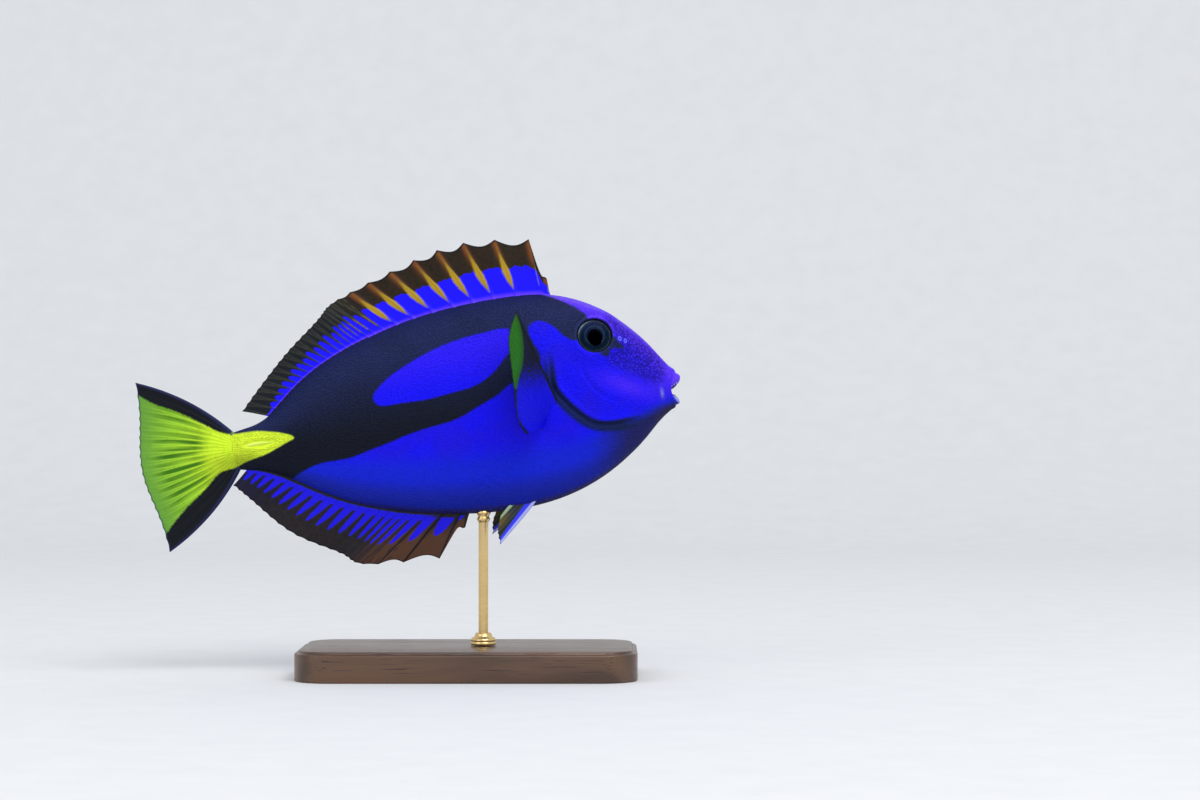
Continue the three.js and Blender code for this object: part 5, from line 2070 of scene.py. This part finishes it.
@dataclass
class PectoralFin(Web):
    """A pectoral fin, drawn for the right side, held up and out in a slow stroke."""

    root: Outline = ((107.4, 1.0), (102.8, -5.7))
    # Key rays: place along the root, angle above backward, length and how far the tip flares
    keys: tuple[tuple[float, ...], ...] = (
        (0, 75, 32.5, 10), (0.3, 66, 26.4, 15), (0.6, 56.5, 17.7, 16), (0.8, 35, 11.3, 15),
        (1, -16, 6.6, 11),
    )
    root_thickness: float = 1.3
    buried: float = 1.2
    rays: int = 15
    serration: float = 0.25
    # The green lens along the rear edge
    LENS = (
        (98.2, 33.2), (99.35, 29.3), (99.75, 24.2), (99.4, 19.2), (98.25, 14.0), (96.7, 10.2), (95.3, 7.2),
        (92.0, 12.1), (91.7, 20.8), (94.0, 28.9),
    )

    def __post_init__(self) -> None:
        """Runs splines through the key rays and finds the root on the flank."""
        places, *values = zip(*self.keys)
        self.angle, self.length, self.flare = (Spline(places, row) for row in values)
        self.root_y = [self.buried - self.form.flank(x, z)[1] for x, z in self.root]

    def side(self) -> Array:
        """Gives the direction that the thickness is laid on."""
        way = np.array((0.62, -0.72, -0.3))
        return way / np.linalg.norm(way)

    def middle(self, ray: Array, share: Array) -> Array:
        """Gives places on the web's middle."""
        u = np.clip(ray, 0, self.rays) / self.rays
        (upper_x, upper_z), (lower_x, lower_z) = self.root
        angle = np.radians(self.angle(u))
        scallop = self.serration * np.abs(np.sin(math.pi * ray)) * np.clip(share, 0, 1) ** 6
        run = self.length(u) * share - scallop
        out = self.root_y[0] + (self.root_y[1] - self.root_y[0]) * u
        flare = (self.flare(u) + self.buried) * np.sign(share) * np.abs(share) ** 0.85
        return np.stack([
            upper_x + (lower_x - upper_x) * u - run * np.cos(angle),
            out - flare,
            upper_z + (lower_z - upper_z) * u + run * np.sin(angle),
        ], axis=-1)

    def thickness(self, ray: Array, share: Array, gap: Array) -> Array:
        """Gives the web's thickness."""
        web = self.edge + (self.root_thickness - self.edge) * (1 - share) ** 1.5
        lead = 0.45 * hump(ray, 0, 0.6) * (1 - 0.6 * share)
        return web + lead + 0.22 * (1 - 0.6 * share) * self.near_ray(ray, share, gap)

    def fields(self, ray: Array, share: Array, gap: Array) -> Fields:
        """Gives the pattern's fields."""
        u = ray / self.rays
        length = self.length(u)
        edge = (1 - share) * length
        side_view = self.middle(ray, share)
        height = side_view[..., 2]
        return {
            "lobe": (9.5 - height) * 0.05 - 0.45 * hump(edge, 0, 1.2),
            "streak": inside_distance(side_view[..., 0], height, smooth_line(self.LENS, True)),
            "margin": 0.3 - edge,
            "seam": np.maximum(0.4 - u * length * 0.5, 0.45 - 0.4 * np.hypot(edge, (1 - u) * 9)),
            "ray_line": self.near_ray(ray, share, gap),
        }


@dataclass
class PelvicFin(Web):
    """A pelvic fin, drawn for the right side: a stout spine in front and a short web behind it."""

    root: Outline = ((97.0, -29.0), (89.0, -29.4))
    tips: Outline = ((82.8, -42.4), (82.6, -38.0), (84.2, -33.4))
    base_out: float = 1.9
    flare: float = 3.6
    spine: float = 1.0
    rays: int = 5
    parts: int = 14
    pull: float = 0.4
    # Square to the spine in side view, towards the tail
    behind: tuple[float, float] = (-0.686, 0.727)

    def __post_init__(self) -> None:
        """Runs splines through the tips."""
        across = (0, 0.5, 1)
        self.tip_x, self.tip_z = (Spline(across, row) for row in zip(*self.tips))

    def middle(self, ray: Array, share: Array) -> Array:
        """Gives places on the web's middle."""
        u = np.clip(ray, 0, self.rays) / self.rays
        (front_x, front_z), (rear_x, rear_z) = self.root
        notch = 0.025 * np.abs(np.sin(math.pi * ray)) * np.clip(share, 0, 1) ** 3
        share = share - notch
        out = np.full(u.shape, -self.base_out)
        root_x = front_x + (rear_x - front_x) * u
        root = np.stack([root_x, out, front_z + (rear_z - front_z) * u], axis=-1)
        tip = np.stack([self.tip_x(u), out - self.flare, self.tip_z(u)], axis=-1)
        return root + (tip - root) * share[..., None]

    def near_ray(self, ray: Array, share: Array, gap: Array) -> Array:
        """Gives how near each place is to a ray, 0 to 1."""
        off = np.abs(ray - np.round(ray)) * gap
        return np.exp(-((off / 0.28) ** 2))

    def thickness(self, ray: Array, share: Array, gap: Array) -> Array:
        """Gives the web's thickness."""
        spine = self.spine * np.exp(-((ray * gap / 0.7) ** 2)) * (1 - 0.75 * share)
        rays = 0.25 * (1 - 0.6 * share) * self.near_ray(ray, share, gap)
        return self.edge + spine + 0.3 * (1 - share) + rays

    def fields(self, ray: Array, share: Array, gap: Array) -> Fields:
        """Gives the pattern's fields."""
        u = ray / self.rays
        places = self.middle(ray, share)
        (front_x, front_z), _ = self.root
        behind = self.behind[1] * (places[..., 2] - front_z) + self.behind[0] * (places[..., 0] - front_x)
        return {
            "lobe": 2.0 - 0.9 * share - behind,
            "streak": (u - 0.84) * 7 * ease(share, 0.0, 0.25),
            "tip": ease(share, 0.35, 0.9) * ease(u, 0.3, 0.7),
            "margin": 0.3 - (1 - share) * 12,
            "seam": 0.42 - behind,
            "ray_line": self.near_ray(ray, share, gap),
        }


@dataclass
class Stand:
    """The display stand: a stepped walnut base, a brass rod and a turned brass collar."""

    base_size: tuple[float, float, float] = (112, 58, 10)
    corner: float = 12
    step_in: float = 1.5
    step_up: float = 0.9
    round_off: float = 0.55
    rod_x: float = 5
    rod: Outline = (
        (0.2, 4.0), (1.6, 4.0), (1.6, 12.0), (1.6, 30.0), (1.6, 50.8), (1.75, 51.1), (2.1, 51.6),
        (2.2, 52.2), (1.85, 52.7), (1.8, 53.1), (2.3, 53.7), (2.5, 54.4), (1.6, 55.0), (1.5, 61.0),
        (0.2, 61.0),
    )
    collar: Outline = (
        (1.62, 10.3), (4.0, 10.3), (4.2, 10.5), (4.2, 11.2), (4.05, 11.35), (4.05, 11.55), (4.2, 11.7),
        (4.15, 12.2), (3.7, 12.7), (3.1, 13.0), (2.8, 13.35), (2.75, 13.9), (2.55, 14.2), (2.3, 14.3),
        (1.62, 14.3),
    )
    foot: Outline = ((4.4, 9.9), (4.9, 9.95), (5.0, 10.12), (4.8, 10.3), (4.4, 10.35), (1.7, 10.35))

    def build(self, wood: Material, brass: Material) -> list[Piece]:
        """Builds the stand.

        Args:
            wood: The base's finish.
            brass: The rod's and the collar's finish.

        Returns:
            The base, the rod and the collar.
        """
        base = dress(self.base(), wood, Slot.WOOD, "stand_base")
        rod = turned("stand_rod_brass", self.rod, 48)
        collar = turned("stand_collar_brass", self.collar, 64)
        for piece in (rod, collar):
            settle(piece, Matrix.Translation((self.rod_x * MM, 0, 0)) @ Matrix.Scale(MM, 4))
        dress(rod, brass, Slot.BRASS, "stand_rod")
        dress(collar, brass, Slot.BRASS, "stand_collar")
        return [base, rod, collar]

    def base(self) -> Piece:
        """Shapes the base from a block: rounded corners, a step round the top and softened edges."""
        wide, deep, high = self.base_size
        select()
        bpy.ops.mesh.primitive_cube_add(size=1, location=(0, 0, (high - self.step_up) / 2))
        base = take_new("stand_base_walnut")
        base.scale = (wide, deep, high - self.step_up)
        settle(base, Matrix.Identity(4))
        in_edit_mode(base)
        pick(base, "EDGE", lambda edge: abs(edge.verts[0].co.z - edge.verts[1].co.z) > 1)
        bpy.ops.mesh.bevel(offset=self.corner, segments=14)
        pick(base, "FACE", lambda face: face.normal.z > 0.9)
        bpy.ops.mesh.inset(thickness=self.step_in)
        bpy.ops.mesh.extrude_region_move(TRANSFORM_OT_translate={"value": (0, 0, self.step_up)})
        pick(base, "EDGE", self.is_rim)
        bpy.ops.mesh.bevel(offset=self.round_off, segments=3)
        bpy.ops.object.mode_set(mode="OBJECT")
        settle(base, Matrix.Scale(MM, 4))
        select(base)
        bpy.ops.object.shade_smooth_by_angle(angle=math.radians(35))
        return base

    @staticmethod
    def is_rim(edge: bmesh.types.BMEdge) -> bool:
        """Says whether an edge is a level one between a flat top or underside and a wall."""
        level = abs(edge.verts[0].co.z - edge.verts[1].co.z) < 1e-4
        slopes = sorted(abs(face.normal.z) for face in edge.link_faces)
        return level and slopes[0] < 0.1 and slopes[-1] > 0.9


@dataclass
class Studio:
    """The pale floor and backdrop, the soft lights and the camera at the photograph's angle."""

    camera_place: tuple[float, float, float] = (0.0437, -1.0, 0.0915)
    lens: float = 90.4
    half_width: float = 1.8
    front: float = -1.8
    back: float = 1.5
    sweep: float = 0.7
    height: float = 1.6

    def build(self) -> None:
        """Builds the whole studio."""
        self.backdrop()
        self.lights()
        self.camera()

    def backdrop(self) -> None:
        """Adds the floor, swept up behind into a backdrop."""
        select()
        bpy.ops.mesh.primitive_plane_add(size=1)
        floor = take_new("stage_floor")
        corners = ((-1, self.front), (1, self.front), (-1, self.back), (1, self.back))
        for vert, (side, depth) in zip(floor.data.vertices, corners):
            vert.co = (side * self.half_width, depth, 0)
        in_edit_mode(floor)
        pick(floor, "EDGE", lambda edge: all(vert.co.y > self.back - 0.01 for vert in edge.verts))
        bpy.ops.mesh.extrude_edges_move(TRANSFORM_OT_translate={"value": (0, 0, self.height)})
        pick(floor, "EDGE", lambda edge: len(edge.link_faces) == 2)
        bpy.ops.mesh.bevel(offset=self.sweep, segments=16)
        bpy.ops.object.mode_set(mode="OBJECT")
        bpy.ops.object.shade_smooth()
        s = Shader("studio paper")
        grain = s.noise(s.object_place((1, 1, 1)), 60.0, 3)
        colour = s.mix(grain, srgb(214, 216, 219), srgb(222, 223, 225))
        floor.data.materials.append(s.surface(colour, 0.85, grain, 0.0002, Specular_IOR_Level=0.2))

    def lights(self) -> None:
        """Adds the soft boxes and the pale surroundings."""
        boxes = (
            ("light_key", (0.55, -1.15, 1.55), (0, 0.1, 0.05), (1.3, 1.0), 19),
            ("light_fill", (-1.3, -1.2, 0.9), (0, 0, 0.08), (1.0, 1.0), 4),
        )
        for name, place, aim, size, power in boxes:
            light = bpy.data.lights.new(name, "AREA")
            light.shape = "RECTANGLE"
            light.size, light.size_y = size
            light.energy = power
            holder = add_object(name, light)
            holder.location = place
            holder.rotation_euler = (Vector(aim) - Vector(place)).to_track_quat("-Z", "Y").to_euler()
        world = bpy.data.worlds.new("surroundings")
        world.use_nodes = True
        world.node_tree.nodes["Background"].inputs["Color"].default_value = srgb(250, 252, 255)
        world.node_tree.nodes["Background"].inputs["Strength"].default_value = 0.86
        bpy.context.scene.world = world
        bpy.context.scene.view_settings.view_transform = "Standard"

    def camera(self) -> None:
        """Adds the level camera, square on to the fish's right side."""
        lens = bpy.data.cameras.new("camera")
        lens.lens = self.lens
        camera = add_object("camera", lens)
        camera.location = self.camera_place
        camera.rotation_euler = (math.pi / 2, 0, 0)
        bpy.context.scene.camera = camera


DORSAL_COLOURS = FinColours(
    name="dorsal fin",
    membrane=srgb(40, 28, 13),
    flame=srgb(14, 0, 255),
    base=srgb(96, 54, 255),
    streak=srgb(186, 152, 34),
    tip=srgb(122, 68, 28),
    margin=srgb(12, 9, 10),
    ray=srgb(92, 92, 70),
    seam=srgb(12, 12, 34),
    rear=srgb(12, 21, 30),
)
ANAL_COLOURS = FinColours(
    name="anal fin",
    membrane=srgb(34, 28, 28),
    # Painted shade: the anal fin's blues are darkened, partly the fin's own blue and partly the shade of
    # the underside
    flame=srgb(20, 8, 216),
    base=srgb(28, 46, 240),
    streak=srgb(60, 60, 200),
    tip=srgb(80, 51, 35),
    margin=srgb(16, 12, 14),
    ray=srgb(14, 14, 44),
    seam=srgb(24, 24, 30),
    rear=srgb(20, 18, 48),
)
PECTORAL_COLOURS = FinColours(
    name="pectoral fin",
    membrane=srgb(3, 8, 30),
    flame=srgb(2, 0, 206),
    base=srgb(2, 0, 216),
    streak=srgb(30, 104, 6),
    tip=srgb(30, 104, 6),
    margin=srgb(4, 12, 26),
    ray=srgb(8, 14, 60),
    seam=srgb(2, 6, 20),
    rear=srgb(3, 8, 30),
    streak_edge=2.2,
)
PELVIC_COLOURS = FinColours(
    name="pelvic fin",
    membrane=srgb(26, 36, 34),
    flame=srgb(50, 56, 226),
    base=srgb(50, 70, 255),
    streak=srgb(160, 184, 150),
    tip=srgb(98, 86, 36),
    margin=srgb(24, 24, 28),
    ray=srgb(70, 76, 84),
    seam=srgb(160, 166, 226),
    rear=srgb(26, 36, 34),
)
DORSAL_KEYS = (
    (2, 107.8, 105.7, 56.2), (4, 92.6, 84.0, 57.9), (6, 79.6, 66.8, 54.4), (9, 60.7, 44.6, 46.8),
    (14, 47.0, 34.2, 40.7), (19, 36.6, 24.6, 32.7), (24, 26.2, 14.0, 23.0), (29, 15.4, 4.1, 12.5),
)
ANAL_KEYS = (
    (2, 72.0, 62.0, -44.9), (3, 67.0, 50.0, -44.5), (8, 50.5, 31.4, -39.9), (13, 34.0, 16.4, -30.9),
    (18, 18.5, 4.4, -18.8), (22, 6.0, -2.0, -11.6),
)
LEFT_PELVIC_FOLD = math.radians(12)


def fins(form: BodyForm) -> list[Piece]:
    """Builds all the fins.

    Args:
        form: The body that they stand on.

    Returns:
        The fins.
    """
    dorsal = DorsalFin(
        "dorsal_web", ("dorsal_fin",), Slot.FIN_BLUE, form, first=(1, 110.0, 109.8, 42.4), keys=DORSAL_KEYS
    )
    anal = AnalFin(
        "anal_web", ("anal_fin",), Slot.FIN_BLUE, form, first=(1, 74.2, 71.7, -35.8), keys=ANAL_KEYS,
        spines=3, rays=22, inward=1,
    )
    yellow = smooth_line(Markings.WEDGE, True)
    tail = TailFin("tail_web", ("tail_fin",), Slot.FIN_YELLOW, form, yellow=yellow, rows=48)
    made = [
        dorsal.build(DORSAL_COLOURS.material()),
        anal.build(ANAL_COLOURS.material()),
        tail.build(TailFinish().material()),
    ]
    mirror = Matrix.Diagonal((1, -1, 1, 1))
    pectoral = PECTORAL_COLOURS.material()
    pelvic = PELVIC_COLOURS.material()
    front_x, front_z = PelvicFin.root[0]
    hinge = Matrix.Translation((front_x, PelvicFin.base_out, front_z))
    fold = hinge @ Matrix.Rotation(LEFT_PELVIC_FOLD, 4, "Y") @ hinge.inverted() @ mirror
    for side, turn, folded in ((Side.RIGHT, None, None), (Side.LEFT, mirror, fold)):
        fin = PectoralFin(f"pectoral_web_{side.word}", (f"pectoral_fin_{side.word}",), Slot.FIN_GREEN, form)
        made.append(fin.build(pectoral, turn))
        fin = PelvicFin(f"pelvic_web_{side.word}", (f"pelvic_fin_{side.word}",), Slot.FIN_BLUE, form)
        made.append(fin.build(pelvic, folded))
    return made


def main() -> None:
    """Builds every part of the model and the studio."""
    logging.basicConfig(level=logging.INFO, format="%(name)s: %(message)s")
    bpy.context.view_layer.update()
    form = BodyForm()
    seats = (EyeSeat(Side.LEFT), EyeSeat(Side.RIGHT))
    markings = Markings(form, seats)
    skin_material = SkinFinish().material()
    body = Skin(form, markings, seats)
    skin = body.build(skin_material)
    made = [skin, *ScaleCoat(body).build(skin_material)]
    made += Nostrils(skin).build(skin_material)
    for seat in seats:
        made += Eye(form, seat).build(EyeFinish())
    horn = PlainFinish("tail blade", srgb(234, 246, 130), srgb(206, 226, 70), (0.25, 0.4), coat=0.3)
    horn = horn.material()
    made += [TailBlade(skin, side).build(horn) for side in Side]
    enamel = PlainFinish("teeth", srgb(168, 176, 196), srgb(140, 148, 172), (0.2, 0.3), coat=0.2)
    made.append(Teeth(markings, body.depth).build(enamel.material()))
    made += fins(form)
    wood = WalnutFinish().material()
    brass = PlainFinish(
        "satin brass", (0.74, 0.54, 0.25, 1), (0.66, 0.47, 0.2, 1), (0.24, 0.32),
        grain=160, relief=0.000001, metallic=1.0, stretch=(1, 1, 4),
    )
    made += Stand().build(wood, brass.material())
    for piece in made:
        log.info("%s: %d faces", piece.name, len(piece.data.polygons))
    Studio().build()


if __name__ == "__main__":
    main()
